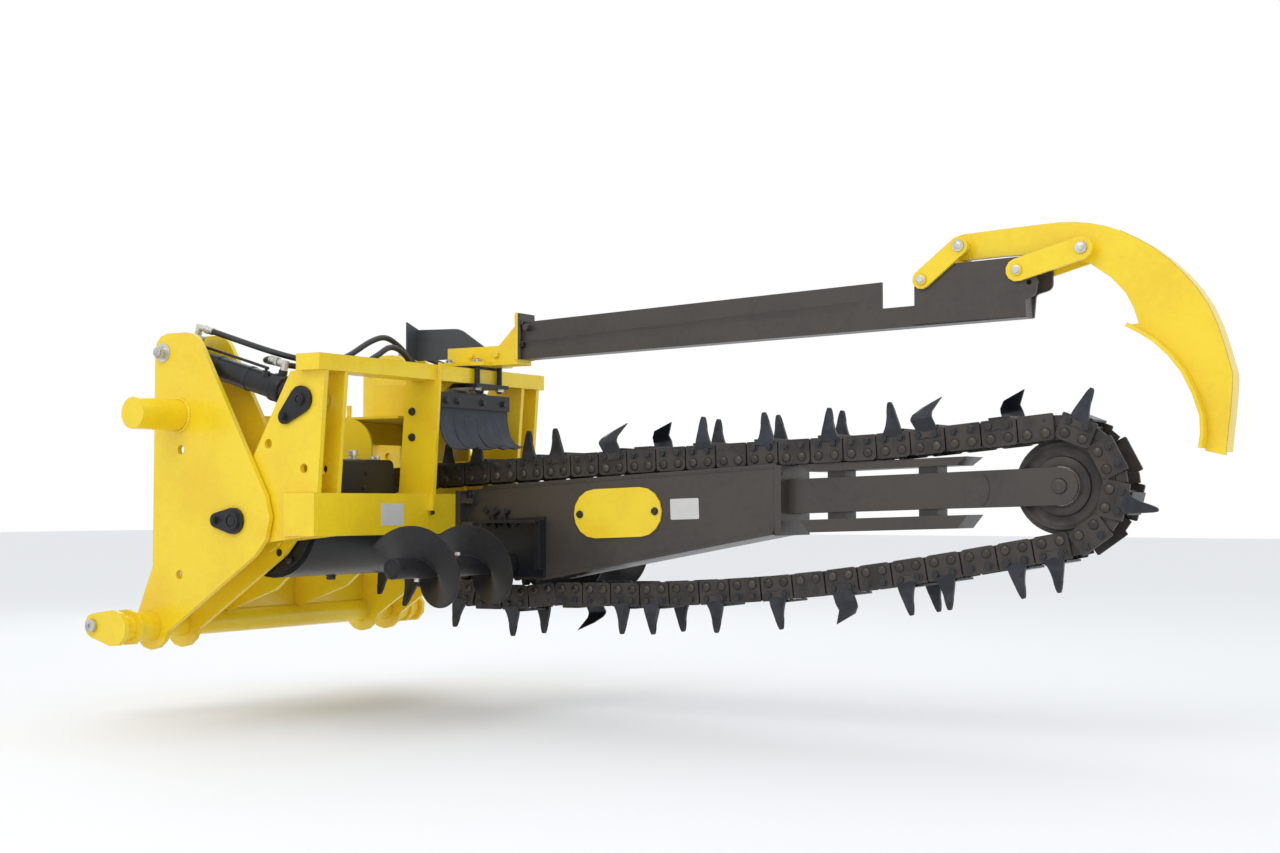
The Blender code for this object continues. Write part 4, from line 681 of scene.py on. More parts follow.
    def piece(
        self,
        name: str,
        finish: Finish,
        body: str,
        replaced: Sequence[str] = (),
        bevel: float = 0.0,
        angle: float = 38.0,
        slot: str | None = None,
    ) -> Object:
        """Turn the form into a piece that rides on a body.

        Args:
            name: the piece's name.
            finish: its finish.
            body: the body it moves with.
            replaced: frame nodes that it stands for.
            bevel: width of the rounded edges.
            angle: edges sharper than this, in degrees, stay crisp.
            slot: not used.

        Returns:
            The new object.
        """
        bmesh.ops.recalc_face_normals(self.bm, faces=self.bm.faces)
        mesh = bpy.data.meshes.new(name)
        self.bm.to_mesh(mesh)
        self.bm.free()
        mesh.materials.append(finish.made())
        mesh.shade_smooth()
        made = place(name, mesh)
        if bevel:
            ease = made.modifiers.new("eased_edges", "BEVEL")
            ease.width = bevel
            ease.segments = 2
            ease.limit_method = "ANGLE"
            ease.angle_limit = math.radians(angle)
            ease.harden_normals = True
        else:
            mesh.set_sharp_from_angle(angle=math.radians(angle))
        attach(made, body)
        if replaced:
            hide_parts(*replaced)
        slot or finish.value.slot
        LOG.info("%s rides on %s with %d faces", name, body, len(mesh.polygons))
        return made


def curve(points: Sequence[Sequence[float]], steps: int = 6) -> list[tuple[float, ...]]:
    """A smooth line through points.

    Args:
        points: points in the plane or in space.
        steps: parts of each stretch.

    Returns:
        The finer line, both ends included.
    """
    ends = [Vector(p) for p in points]
    ends = [2 * ends[0] - ends[1], *ends, 2 * ends[-1] - ends[-2]]
    found = []
    for a, b, c, d in zip(ends, ends[1:], ends[2:], ends[3:]):
        for i in range(steps):
            t = i / steps
            bend = (2 * a - 5 * b + 4 * c - d) * t**2
            twist = (3 * b - 3 * c + d - a) * t**3
            found.append(tuple(0.5 * (2 * b + (c - a) * t + bend + twist)))
    return [*found, tuple(ends[-2])]


def round_outline(corners: Sequence[Sequence[float]], steps: int = 5) -> list[Flat]:
    """An outline with rounded corners.

    Args:
        corners: each corner's two coordinates and radius.
        steps: parts of each arc.

    Returns:
        The finer outline.
    """
    made: list[Flat] = []
    count = len(corners)
    for i, corner in enumerate(corners):
        here = Vector(corner[:2])
        if len(corner) < 3 or corner[2] <= 0:
            made.append(tuple(here))
            continue
        before = (Vector(corners[i - 1][:2]) - here).normalized()
        after = (Vector(corners[(i + 1) % count][:2]) - here).normalized()
        half = before.angle(after) / 2
        reach = corner[2] / math.tan(half)
        start = here + before * reach
        end = here + after * reach
        centre = here + (before + after).normalized() * corner[2] / math.sin(half)
        for k in range(steps + 1):
            t = k / steps
            middle = start.lerp(end, t) - centre
            made.append(tuple(centre + middle.normalized() * corner[2]))
    return made


# ---- frame nodes
DRESS: dict[Finish, str] = {
    Finish.YELLOW: "hitch_frame swing_frame sprocket_hood boom_cover crumber_bracket front_links rear_links "
    "crumber_shoe",
    Finish.COOL_BLACK: "*_pivot_pin *_cylinder_rod_pin gearbox_housing gearbox_cover head_bearing_outer "
    "flap_bar *_auger_bracket crumber_pad crumber_clamp *_cylinder_barrel",
    Finish.BOOM_BLACK: "boom tension_arm upper_guide_rail lower_guide_rail nose_axle crumber_arm",
    Finish.ZINC: "*_lower_hitch_pin *_cylinder_top_pin breather_cap tension_screw *_cap_elbow *_rod_elbow "
    "front_shoe_pin rear_shoe_pin",
    Finish.CHAIN: "head_bearing_inner pto_input_shaft head_shaft crown_wheel drive_sprocket auger_shaft "
    "auger_sprocket nose_wheel chain_upper_run chain_nose_turn chain_lower_run chain_head_turn",
    Finish.AUGER: "*_auger",
    Finish.CHROME: "*_cylinder_rod",
    Finish.GUARD: "hose_guard",
    Finish.HOSE: "cap_side_hose rod_side_hose",
    Finish.FLAP: "rubber_flap",
}


class Dresser:
    """Gives the frame's own nodes their finishes and smooth round faces."""

    def __init__(self, nodes: Mapping[str, Object]) -> None:
        """Keep the nodes and make the shading group."""
        self.nodes = nodes
        self.group = self._group()

    def _group(self) -> NodeTree:
        """A modifier that joins split corners and keeps only real edges sharp.

        Returns:
            The node group.
        """
        tree = bpy.data.node_groups.new("tidy_shading", "GeometryNodeTree")
        for way in ("INPUT", "OUTPUT"):
            tree.interface.new_socket("Geometry", in_out=way, socket_type="NodeSocketGeometry")
        g = Graph(tree)
        shade = "GeometryNodeSetShadeSmooth"
        start = g.node("NodeGroupInput").outputs[0]
        merged = g.node("GeometryNodeMergeByDistance", None, {0: start, "Distance": JOINED}).outputs[0]
        faces = g.node(shade, {"domain": "FACE"}, {0: merged}).outputs[0]
        angle = g.node("GeometryNodeInputMeshEdgeAngle").outputs[0]
        limits = {"A": angle, "B": math.radians(SHARP)}
        sharp = g.node("FunctionNodeCompare", {"operation": "GREATER_THAN"}, limits).outputs[0]
        choice = {0: faces, "Selection": sharp, "Shade Smooth": False}
        edges = g.node(shade, {"domain": "EDGE"}, choice).outputs[0]
        g.node("NodeGroupOutput", None, {0: edges})
        return tree

    def dress(self, finish: Finish, *names: str) -> None:
        """Give nodes a finish.

        Args:
            finish: the finish.
            names: the nodes.
        """
        for name in names:
            node = self.nodes[name]
            attribute = node.data.attributes.get("custom_normal")
            if attribute:
                node.data.attributes.remove(attribute)
            node.data.materials.clear()
            node.data.materials.append(finish.made())
            tidy = node.modifiers.new("tidy_shading", "NODES")
            tidy.node_group = self.group
            LOG.info("%s dressed in %s", name, finish.value.name)

    def all_nodes(self) -> None:
        """Dress every node of the frame, a star standing for left and right."""
        for finish, names in DRESS.items():
            for name in names.split():
                sides = ("left", "right") if "*" in name else ("",)
                self.dress(finish, *(name.replace("*", side) for side in sides))


# ---- digging chain
class Cutter(Enum):
    """The kinds of cutter on the chain."""

    FIN = "fin"
    PAIR = "pair"
    CUP = "cup"
    DISH = "dish"


class ChainPart(Enum):
    """The chain's pieces: name, finish and width of the eased edges."""

    PLATES = ("chain_side_plates", Finish.CHAIN, 0.0009)
    INNER = ("chain_inner_links", Finish.CHAIN, 0.0008)
    RIVETS = ("chain_rivets", Finish.RIVET, 0.0)
    # bolt heads, and the thin dark discs painted as shade in empty bolt holes
    BOLTS_AND_HOLE_SHADE = ("chain_bolts_and_hole_shade", Finish.BOLT, 0.0)
    STRAPS = ("chain_bolt_straps", Finish.CHAIN, 0.001)
    BUSHES = ("chain_bushes", Finish.BOLT, 0.0)
    FINS = ("chain_fins", Finish.CUTTER, 0.0014)
    TIPS = ("chain_fin_tips", Finish.CUTTER, 0.0008)
    CUPS = ("chain_cups", Finish.CUTTER, 0.0012)
    BRIDGES = ("chain_cross_plates", Finish.BOLT, 0.0008)


class Chord:
    """The straight line between two neighbouring pins of the chain."""

    def __init__(self, a: Vector, b: Vector) -> None:
        """Find the middle, the half length, the direction and the outward normal."""
        self.middle = (a + b) / 2
        self.reach = (b - a).length / 2
        self.run = (b - a).normalized()
        self.normal = Vector((-self.run.y, self.run.x))

    def at(self, along: float, out: float) -> Vector:
        """A point by its distances along the chord and outward from its middle."""
        return self.middle + self.run * along + self.normal * out

    def outline(self, points: Iterable[Flat]) -> list[Flat]:
        """Points given along and outward, turned into x and z."""
        return [tuple(self.at(*point)) for point in points]


@dataclass
class DiggingChain:
    """Side plates, rivets, bolts, bushes and cutters round the boom."""

    pitch: float = 0.0508
    width: float = 0.14
    inside: float = 0.0195
    outside: float = 0.0515
    plate: float = 0.0085
    cutter: float = 0.083
    head_radius: float = 0.11415
    nose_radius: float = 0.14
    # x, z of the points that the upper run passes over the boom and the arm
    boom_passes: tuple[Flat, ...] = ((0.63237, 0.18266), (1.16523, 0.2088), (1.678, 0.2283))
    arm_passes: tuple[Flat, ...] = ((1.9645, 0.23949), (2.2087, 0.25984))
    # share of the lower run, and how far it sags there
    bottom: tuple[Flat, ...] = (
        (0.139, 0.048), (0.249, 0.08), (0.38, 0.108), (0.556, 0.124), (0.707, 0.12), (0.827, 0.131),
    )
    start: float = 0.312  # x of the first cutter behind the swing axis
    steps: tuple[int, ...] = (4, 3, 3, 3, 4, 4)  # pins from one cutter to the next
    pattern: str = (
        "fin fin fin cup dish pair pair pair fin cup dish fin fin fin fin "
        "fin pair cup fin fin pair pair dish pair fin fin pair fin fin pair"
    )
    link: float = 0.0168  # half the height of an inner link
    bush: float = 0.0105
    rivet: Flat = (0.0132, 0.0068)  # radius and height of its head
    bolt: Flat = (0.018, 0.0095)  # width and height of its head
    bolt_row: float = 0.034  # how far out the cutter bolts sit
    bolt_gap: float = 0.0245  # half the distance between two bolts
    replaced: tuple[str, ...] = ("chain_upper_run", "chain_nose_turn", "chain_lower_run", "chain_head_turn")
    forms: dict[ChainPart, Form] = field(default_factory=lambda: {part: Form() for part in ChainPart})

    @property
    def near(self) -> float:
        """The y of the chain's left face."""
        return BOOM_PLANE - self.width / 2

    @property
    def far(self) -> float:
        """The y of the chain's right face."""
        return BOOM_PLANE + self.width / 2

    @staticmethod
    def _touch(centre: Flat, radius: float, toward: Flat, side: int) -> tuple[Flat, float]:
        """Where a straight run meets a wheel.

        Args:
            centre: the wheel's centre.
            radius: the wheel's pitch radius.
            toward: a point that the run heads for.
            side: 1 or -1, for the two runs that touch.

        Returns:
            The point and its angle on the wheel in degrees.
        """
        gap = Vector(toward) - Vector(centre)
        turn = math.atan2(gap.y, gap.x) + side * math.acos(radius / gap.length)
        at = (centre[0] + radius * math.cos(turn), centre[1] + radius * math.sin(turn))
        return at, math.degrees(turn)

    @staticmethod
    def _arc(centre: Flat, radius: float, start: float, end: float, steps: int) -> list[Flat]:
        """Points on an arc.

        Args:
            centre: the arc's centre.
            radius: the arc's radius.
            start: the first angle in degrees.
            end: the last angle in degrees.
            steps: parts of the arc.

        Returns:
            The points, both ends included.
        """
        found = []
        for i in range(steps + 1):
            a = math.radians(start + (end - start) * i / steps)
            found.append((centre[0] + radius * math.cos(a), centre[1] + radius * math.sin(a)))
        return found

    def loop(self) -> list[Flat]:
        """The closed line that the chain's pins follow.

        Returns:
            Points in x and z, from the head over the boom, the nose and back.
        """
        nose_top, nose_from = self._touch(NOSE, self.nose_radius, (NOSE[0] - 0.278, NOSE[1] + 0.115), -1)
        nose_low, nose_to = self._touch(NOSE, self.nose_radius, (NOSE[0] - 0.29, NOSE[1] - 0.195), 1)
        head_top, head_to = self._touch(PIVOT, self.head_radius, (PIVOT[0] + 0.37, PIVOT[1] + 0.134), 1)
        head_low, head_from = self._touch(PIVOT, self.head_radius, (PIVOT[0] + 0.363, PIVOT[1] - 0.229), -1)
        line = curve([head_top, *self.boom_passes, *self.arm_passes, nose_top], 2)[:-1]
        line += self._arc(NOSE, self.nose_radius, nose_from % 360, nose_to % 360 - 360, 12)[:-1]
        lower = [nose_low]
        for share, drop in self.bottom:
            x = nose_low[0] + (head_low[0] - nose_low[0]) * share
            lower.append((x, nose_low[1] + (head_low[1] - nose_low[1]) * share - drop))
        line += curve([*lower, head_low], 2)[:-1]
        line += self._arc(PIVOT, self.head_radius, head_from % 360, head_to % 360, 10)[:-1]
        return [(p[0], p[1]) for p in line]

    def stations(self) -> list[Vector]:
        """Spread the pins evenly over the loop.

        Returns:
            Every pin's place.
        """
        points = [Vector(p) for p in self.loop()]
        ends = points[1:] + points[:1]
        total = sum((b - a).length for a, b in zip(points, ends))
        count = 2 * round(total / self.pitch / 2)
        step = total / count
        found: list[Vector] = []
        walked = 0.0
        wanted = step / 2
        for a, b in zip(points, ends):
            length = (b - a).length
            while wanted <= walked + length and len(found) < count:
                found.append(a + (b - a) / length * (wanted - walked))
                wanted += step
            walked += length
        return found

    def teeth(self, pins: Sequence[Vector]) -> dict[int, tuple[Cutter, int]]:
        """Choose which links carry cutters.

        Args:
            pins: every pin's place.

        Returns:
            For each loaded pin, the kind of cutter and the way it leans.
        """
        count = len(pins)
        first = min(range(count // 2), key=lambda i: abs(pins[i].x - PIVOT[0] - self.start))
        found: dict[int, tuple[Cutter, int]] = {}
        walked = 0
        for turn, kind in enumerate(self.pattern.split()):
            found[(first + walked) % count] = (Cutter(kind), 1 if turn % 2 else -1)
            walked += self.steps[turn % len(self.steps)]
            if walked > count - self.steps[1]:
                break
        return found

    def build(self) -> None:
        """Make the whole chain, one piece for each kind of part."""
        pins = self.stations()
        chords = [Chord(a, b) for a, b in zip(pins, pins[1:] + pins[:1])]
        teeth = self.teeth(pins)
        for i, chord in enumerate(chords):
            if i % 2:
                self._inner_pair(chord)
            else:
                self._outer_pair(chord, i, i in teeth or i + 1 in teeth)
        bush = [(self.bush, 0.0), (self.bush, self.width - 2 * self.plate)]
        for at in pins:
            self.forms[ChainPart.BUSHES].turned(at_y(at, self.near + self.plate), (0, 1, 0), bush, 12)
        for i, (kind, lean) in teeth.items():
            self._cutter(chords[i - i % 2], kind, lean)
            self._bridge(chords[i - i % 2])
        for part, form in self.forms.items():
            name, finish, bevel = part.value
            replaced = self.replaced if part is ChainPart.PLATES else ()
            form.piece(name, finish, "swing", replaced, bevel, slot="chain_steel")

    def _outer_pair(self, chord: Chord, i: int, loaded: bool) -> None:
        """One near and one far outer plate with their rivets, bolts, and thin dark discs of painted shade
        where bolt holes stand empty.

        Args:
            chord: the line between the plates' pins.
            i: the first pin's number.
            loaded: whether the plates carry a cutter.
        """
        half = self.pitch - 0.0018
        foot, top = -self.inside, self.outside
        corners = [(-half, foot, 0.013), (half, foot, 0.013), (half, top, 0.004), (-half, top, 0.004)]
        outline = chord.outline(round_outline(corners, 4))
        for start in (self.near, self.far - self.plate):
            self.forms[ChainPart.PLATES].prism(outline, start, start + self.plate)
        rng = random.Random(i * 7 + 3)
        bolts = self.forms[ChainPart.BOLTS_AND_HOLE_SHADE]
        for shift in (-self.bolt_gap, self.bolt_gap):
            pin, hole = chord.at(shift, 0.001), chord.at(shift, self.bolt_row)
            for y, way in ((self.near, -1), (self.far, 1)):
                self.forms[ChainPart.RIVETS].dome(at_y(pin, y), (0, way, 0), *self.rivet)
                if loaded or i % 3:
                    bolts.bolt(at_y(hole, y), (0, way, 0), *self.bolt, rng.uniform(0, 60))
                else:
                    # an empty bolt hole is drawn as a thin dark disc on the plate: painted shade standing in
                    # for the hole
                    bolts.turned(at_y(hole, y), (0, way, 0), [(0.005, 0.0), (0.0046, 0.0004)], 16)
        if loaded and (i // 2) % 2 == 0:
            self._strap(chord)

    def _strap(self, chord: Chord) -> None:
        """The figure-of-eight strap that two cutter bolts pass through.

        Args:
            chord: the line between the plates' pins.
        """
        outline = []
        for k in range(32):
            a = 2 * math.pi * k / 32
            x = math.cos(a) * 0.0385
            waist = 0.0125 - 0.0055 * math.exp(-((x / 0.012) ** 2))
            z = math.copysign(abs(math.sin(a)) ** 0.55, math.sin(a)) * waist
            outline.append((x, self.bolt_row + z))
        self.forms[ChainPart.STRAPS].prism(chord.outline(outline), self.near - 0.0048, self.near + 0.0002)

    def _inner_pair(self, chord: Chord) -> None:
        """The two inner links that join one outer pair to the next.

        Args:
            chord: the line between the links' pins.
        """
        outline = []
        for side in (1, -1):
            for k in range(9):
                turn = math.radians(90 * side - 180 * k / 8)
                outline.append((side * chord.reach + self.link * math.cos(turn), self.link * math.sin(turn)))
        top = self.outside - 0.004
        block = [(-0.016, 0.018), (0.016, 0.018), (0.014, top), (-0.014, top)]
        gap = self.plate + 0.0004
        for shape in (outline, block):
            for start in (self.near + gap, self.far - gap - self.plate):
                self.forms[ChainPart.INNER].prism(chord.outline(shape), start, start + self.plate)

    def _bridge(self, chord: Chord) -> None:
        """The plate between the sides that carries a cutter, with its posts and bolt shanks.

        Args:
            chord: the line between the plates' pins.
        """
        form = self.forms[ChainPart.BRIDGES]
        bar = [(-0.03, 0.0525), (0.03, 0.0525), (0.03, 0.059), (-0.03, 0.059)]
        form.prism(chord.outline(bar), self.near + 0.011, self.far - 0.011)
        for p in (-0.02, 0.02):
            post = [(p - 0.004, 0.036), (p + 0.004, 0.036), (p + 0.004, 0.053), (p - 0.004, 0.053)]
            for y in (self.near + 0.012, self.far - 0.02):
                form.prism(chord.outline(post), y, y + 0.008)
        for p in (-self.bolt_gap, self.bolt_gap):
            at = chord.at(p, self.bolt_row)
            form.turned(at_y(at, self.near), (0, 1, 0), [(0.0075, 0.0), (0.0075, self.width)], 10)

    def _cutter(self, chord: Chord, kind: Cutter, lean: int) -> None:
        """One cutter: a fin, two fins, or a cup to one side.

        Args:
            chord: the line between the pins of its link.
            kind: the kind of cutter.
            lean: 1 or -1, the way a fin leans.
        """
        if kind in (Cutter.CUP, Cutter.DISH):
            self._cup(chord, -1 if kind is Cutter.CUP else 1)
            return
        self._fin(chord, 0.012 if kind is Cutter.PAIR else 0.0, lean, self.near - 0.0035)
        if kind is Cutter.PAIR:
            self._fin(chord, -0.012, lean, self.far - 0.0085)

    def _fin(self, chord: Chord, shift: float, lean: int, y: float) -> None:
        """One curved fin with its thicker tip.

        Args:
            chord: the line between the pins of its link.
            shift: distance of its middle along the chord.
            lean: 1 or -1, the way it leans.
            y: where its thickness starts.
        """
        base = self.outside + self.cutter - 0.095
        back = curve([(-0.028, 0.0), (-0.024, 0.026), (-0.015, 0.058), (-0.007, 0.084)], 5)
        front = [(-0.002, 0.0948), (0.006, 0.0925), (0.01, 0.076), (0.013, 0.05), (0.02, 0.024), (0.033, 0.0)]
        outline = [*back, *curve(front, 5)]
        tip = [(p, q) for p, q in outline if q > 0.058]
        for part, shape, more in ((ChainPart.FINS, outline, 0.0), (ChainPart.TIPS, tip, 0.0006)):
            flat = chord.outline((shift + lean * p, base + q) for p, q in shape)
            self.forms[part].prism(flat, y - more, y + 0.012 + more)

    def _cup(self, chord: Chord, side: int) -> None:
        """One bent cup: a broad strap up the side plate, folded in over the chain to a raised point.

        Args:
            chord: the line between the pins of its link.
            side: -1 for the chain's left side, 1 for its right.
        """
        base = self.outside + self.cutter - 0.095
        left = (
            (-0.031, -0.016, 0.0), (-0.031, 0.012, 0.0), (-0.034, 0.018, -0.001), (-0.041, 0.036, -0.006),
            (-0.041, 0.043, -0.003), (-0.038, 0.052, 0.005), (-0.018, 0.07, 0.027),
        )
        right = (
            (0.03, -0.016, 0.0), (0.03, 0.012, 0.0), (0.028, 0.018, -0.001), (0.022, 0.038, -0.006),
            (0.02, 0.046, -0.003), (0.019, 0.056, 0.005), (0.043, 0.0945, 0.027),
        )
        face = self.near if side < 0 else self.far
        cups = self.forms[ChainPart.CUPS]
        rows = []
        for first, last in zip(left, right):
            front, back = [], []
            for k in range(5):
                p, q, fold = (first[j] + (last[j] - first[j]) * k / 4 for j in range(3))
                spot = chord.at(p, base + q)
                y = face + side * 0.004 - side * fold
                front.append(Vector((spot.x, y, spot.y)))
                back.append(Vector((spot.x, y - side * 0.0075, spot.y)))
            rows.append(cups.ring([*front, *back[::-1]]))
        cups.skin(rows)


# ---- nose wheel
@dataclass
class NoseWheel:
    """The idler at the end of the arm, turned with a grooved web and a rubbed hub."""

    rim: float = 0.1282

    def build(self) -> None:
        """Make the wheel and its bright hub rings."""
        r = self.rim
        half = [
            (0.0203, 0.0325), (0.055, 0.0325), (0.058, 0.03), (0.075, 0.03), (0.0785, 0.028),
            (0.08, 0.022), (0.085, 0.02), (0.101, 0.02), (0.105, 0.023), (r - 0.0145, 0.028),
            (r - 0.0125, 0.027), (r - 0.012, 0.0195), (r - 0.001, 0.019), (r, 0.0175),
        ]
        profile = [*half, *[(radius, -y) for radius, y in half[::-1]], half[0]]
        wheel = Form()
        wheel.turned(at_y(NOSE, BOOM_PLANE), (0, 1, 0), profile, 72, caps=False)
        wheel.piece("nose_wheel_turned", Finish.CHAIN, "nose", ("nose_wheel",))
        ring = Form()
        for side in (-1, 1):
            at = at_y(NOSE, BOOM_PLANE + side * 0.0325)
            ring.collar(at, (0, side, 0), 0.0465, 0.0515, 0.0016, 56)
        ring.piece("nose_hub_rings", Finish.WORN, "nose")


# ---- augers
@dataclass
class SpoilAugers:
    """The two screws beside the boom that carry spoil away."""

    radius: float = 0.121
    sleeve: float = 0.0305
    length: float = 0.571
    pitch: float = 0.26
    flight: float = 0.008
    half_boom: float = 0.085

    def _screw(self, form: Form, start: float, length: float, hand: int, phase: float, side: int) -> None:
        """A screw blade with a thinned rim about the auger's axis.

        Args:
            form: the mesh to add it to.
            start: y where it starts.
            length: its length.
            hand: 1 or -1, the hand of its thread.
            phase: its starting angle in degrees.
            side: -1 for the left auger, 1 for the right one.
        """
        turns = length / self.pitch
        steps = round(56 * turns)
        rows = []
        for i in range(steps + 1):
            a = math.radians(phase) + hand * 2 * math.pi * turns * i / steps
            y = start + length * i / steps
            row = []
            for radius, dy in (
                (self.sleeve - 0.004, -0.5), (self.radius - 0.012, -0.5), (self.radius, -0.3),
                (self.radius, 0.3), (self.radius - 0.012, 0.5), (self.sleeve - 0.004, 0.5),
            ):
                spot = y + dy * self.flight
                if side > 0:
                    spot = 2 * BOOM_PLANE - spot
                row.append(Vector((AUGER[0] + radius * math.cos(a), spot, AUGER[1] + radius * math.sin(a))))
            rows.append(form.ring(row))
        form.skin(rows)

    def build(self) -> None:
        """Make both augers with sleeves, flights and clamp bolts."""
        inner = self.half_boom + 0.014
        low = BOOM_PLANE - inner - self.length
        for name, side in (("left", -1), ("right", 1)):
            form = Form()
            self._screw(form, low + 0.045, self.length - 0.075, -1, 150, side)
            ends = (low, low + self.length)
            if side > 0:
                ends = (2 * BOOM_PLANE - ends[1], 2 * BOOM_PLANE - ends[0])
            wall = self.sleeve
            profile = [(wall - 0.008, 0.004), (wall - 0.003, 0.0), (wall, 0.003)]
            end = [
                (wall, self.length - 0.003), (wall - 0.003, self.length),
                (wall - 0.008, self.length - 0.004),
            ]
            form.turned(at_y(AUGER, ends[0]), (0, 1, 0), [*profile, *end], 40)
            form.piece(f"{name}_auger_screw", Finish.AUGER, "augers", (f"{name}_auger",))
            bolts = Form()
            middle = BOOM_PLANE + side * (inner + self.length / 2 - 0.02)
            for y in (middle, middle + side * 0.19):
                for up in (-1, 1):
                    bolts.bolt((AUGER[0], y, AUGER[1] + up * wall), (0, 0, up), 0.016, 0.01)
            bolts.piece(f"{name}_auger_bolts", Finish.ZINC, "augers")


# ---- hitch and drive
@dataclass
class HitchDetails:
    """Welds, nuts, plugs, keepers and dark domes of painted hole shade on the hitch frame and the drive
    housing.
    """

    plate: float = 0.55
    stub: Flat = (0.023, 0.364)
    stub_radius: float = 0.047
    tube: Flat = (-0.079, -0.268)
    tube_radius: float = 0.038
    drum: float = 0.172
    inner_plate: float = 0.4095
    pivot_face: float = 0.5643
    nut_face: float = 0.5683
    hitch_pin: Flat = (-0.165, -0.262)
    pin_face: float = 0.709
    # a low black dome on each inner plate: painted shade standing in for a hole
    plug: Flat = (0.3212, -0.0456)
    hole_shade_face: float = 0.426
    keeper: Flat = (0.1945, 0.0515)
    keeper_face: float = 0.5703
    cover_circle: float = 0.143
    bearing_circle: float = 0.048
    box_bolts: tuple[Flat, ...] = ((-0.17, 0.193), (-0.183, 0.147), (-0.29, 0.193), (-0.29, 0.147))
    top_plugs: tuple[Flat, ...] = ((0.385, -0.06), (0.34, -0.03))

    def build(self) -> None:
        """Make every fixed detail at the front of the machine."""
        welds, nuts, blacks, rings = Form(), Form(), Form(), Form()
        for side in (-1, 1):
            way = (0, side, 0)
            out = side * (self.plate + 0.0005)
            pivot = at_y(PIVOT, side * self.pivot_face)
            for spot, y, radius, bead, seed in (
                (self.stub, out, self.stub_radius + 0.002, 0.0062, 3),
                (self.tube, out, self.tube_radius + 0.001, 0.0048, 4),
                (self.tube, side * self.inner_plate, self.tube_radius + 0.001, 0.0048, 5),
            ):
                welds.weld_ring(at_y(spot, y), (0, 1, 0), radius, bead, seed)
            nuts.collar(at_y(CYLINDER_TOP, out), way, 0.0205, 0.029, 0.0035)
            nuts.bolt(at_y(CYLINDER_TOP, side * self.nut_face), way, 0.03, 0.01, 20)
            nuts.collar(at_y(self.hitch_pin, side * self.pin_face), way, 0.006, 0.019, 0.003)
            # dark dome: painted shade standing in for a hole in the plate
            blacks.dome(at_y(self.plug, side * self.hole_shade_face), way, 0.0115, 0.003)
            rings.collar(pivot, way, 0.0185, 0.026, 0.003)
            rings.dome(pivot, way, 0.015, 0.0034, 28)
            rings.bolt(at_y(self.keeper, side * self.keeper_face), way, 0.015, 0.006, 25)
        welds.piece("hitch_weld_beads", Finish.YELLOW, "hitch")
        nuts.piece("hitch_pin_nuts", Finish.ZINC, "hitch")
        blacks.bolt((PIVOT[0], -0.13, PIVOT[1] - self.drum), (0, 0, -1), 0.026, 0.014)
        blacks.piece("hitch_black_bolt_and_hole_shade", Finish.BOLT, "hitch")
        rings.piece("pivot_keeper_rings", Finish.COOL_BLACK, "hitch")
        self._drive()

    def _drive(self) -> None:
        """Bolt circles, rings and plugs on the gearbox."""
        bolts, plugs = Form(), Form()
        low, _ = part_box("gearbox_cover")
        out = (0, -1, 0)
        middle = Vector(at_y(PIVOT, low[1]))
        for i, spot in enumerate(circle(middle, out, self.cover_circle, 10, math.degrees(0.3))):
            bolts.bolt(spot, out, 0.017, 0.0085, 40 * i)
        bolts.collar(at_y(PIVOT, low[1]), out, 0.06, 0.082, 0.0065, 56)
        bolts.collar(at_y(PIVOT, low[1] + 0.0005), out, 0.112, 0.121, 0.0025, 64)
        start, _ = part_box("head_bearing_outer")
        middle = Vector(at_y(PIVOT, start[1]))
        for i, spot in enumerate(circle(middle, out, self.bearing_circle, 6, math.degrees(0.2))):
            bolts.bolt(spot, out, 0.013, 0.007, 30 * i)
        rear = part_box("gearbox_housing")[1][0]
        for y, z in self.box_bolts:
            bolts.bolt((rear, y, z), (1, 0, 0), 0.013, 0.006)
        bolts.piece("gearbox_bolts", Finish.BOLT, "hitch")
        foot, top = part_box("breather_cap")
        middle = ((foot[0] + top[0]) / 2, (foot[1] + top[1]) / 2)
        plugs.turned((*middle, foot[2]), (0, 0, 1), [(0.0185, 0.0), (0.0185, 0.003), (0.017, 0.004)], 28)
        plugs.bolt((*middle, foot[2] + 0.012), (0, 0, 1), 0.026, 0.017, 10)
        for x, y in self.top_plugs:
            plugs.bolt((x, y, 0.2355), (0, 0, 1), 0.014, 0.012)
        plugs.piece("gearbox_plugs", Finish.ZINC, "hitch")


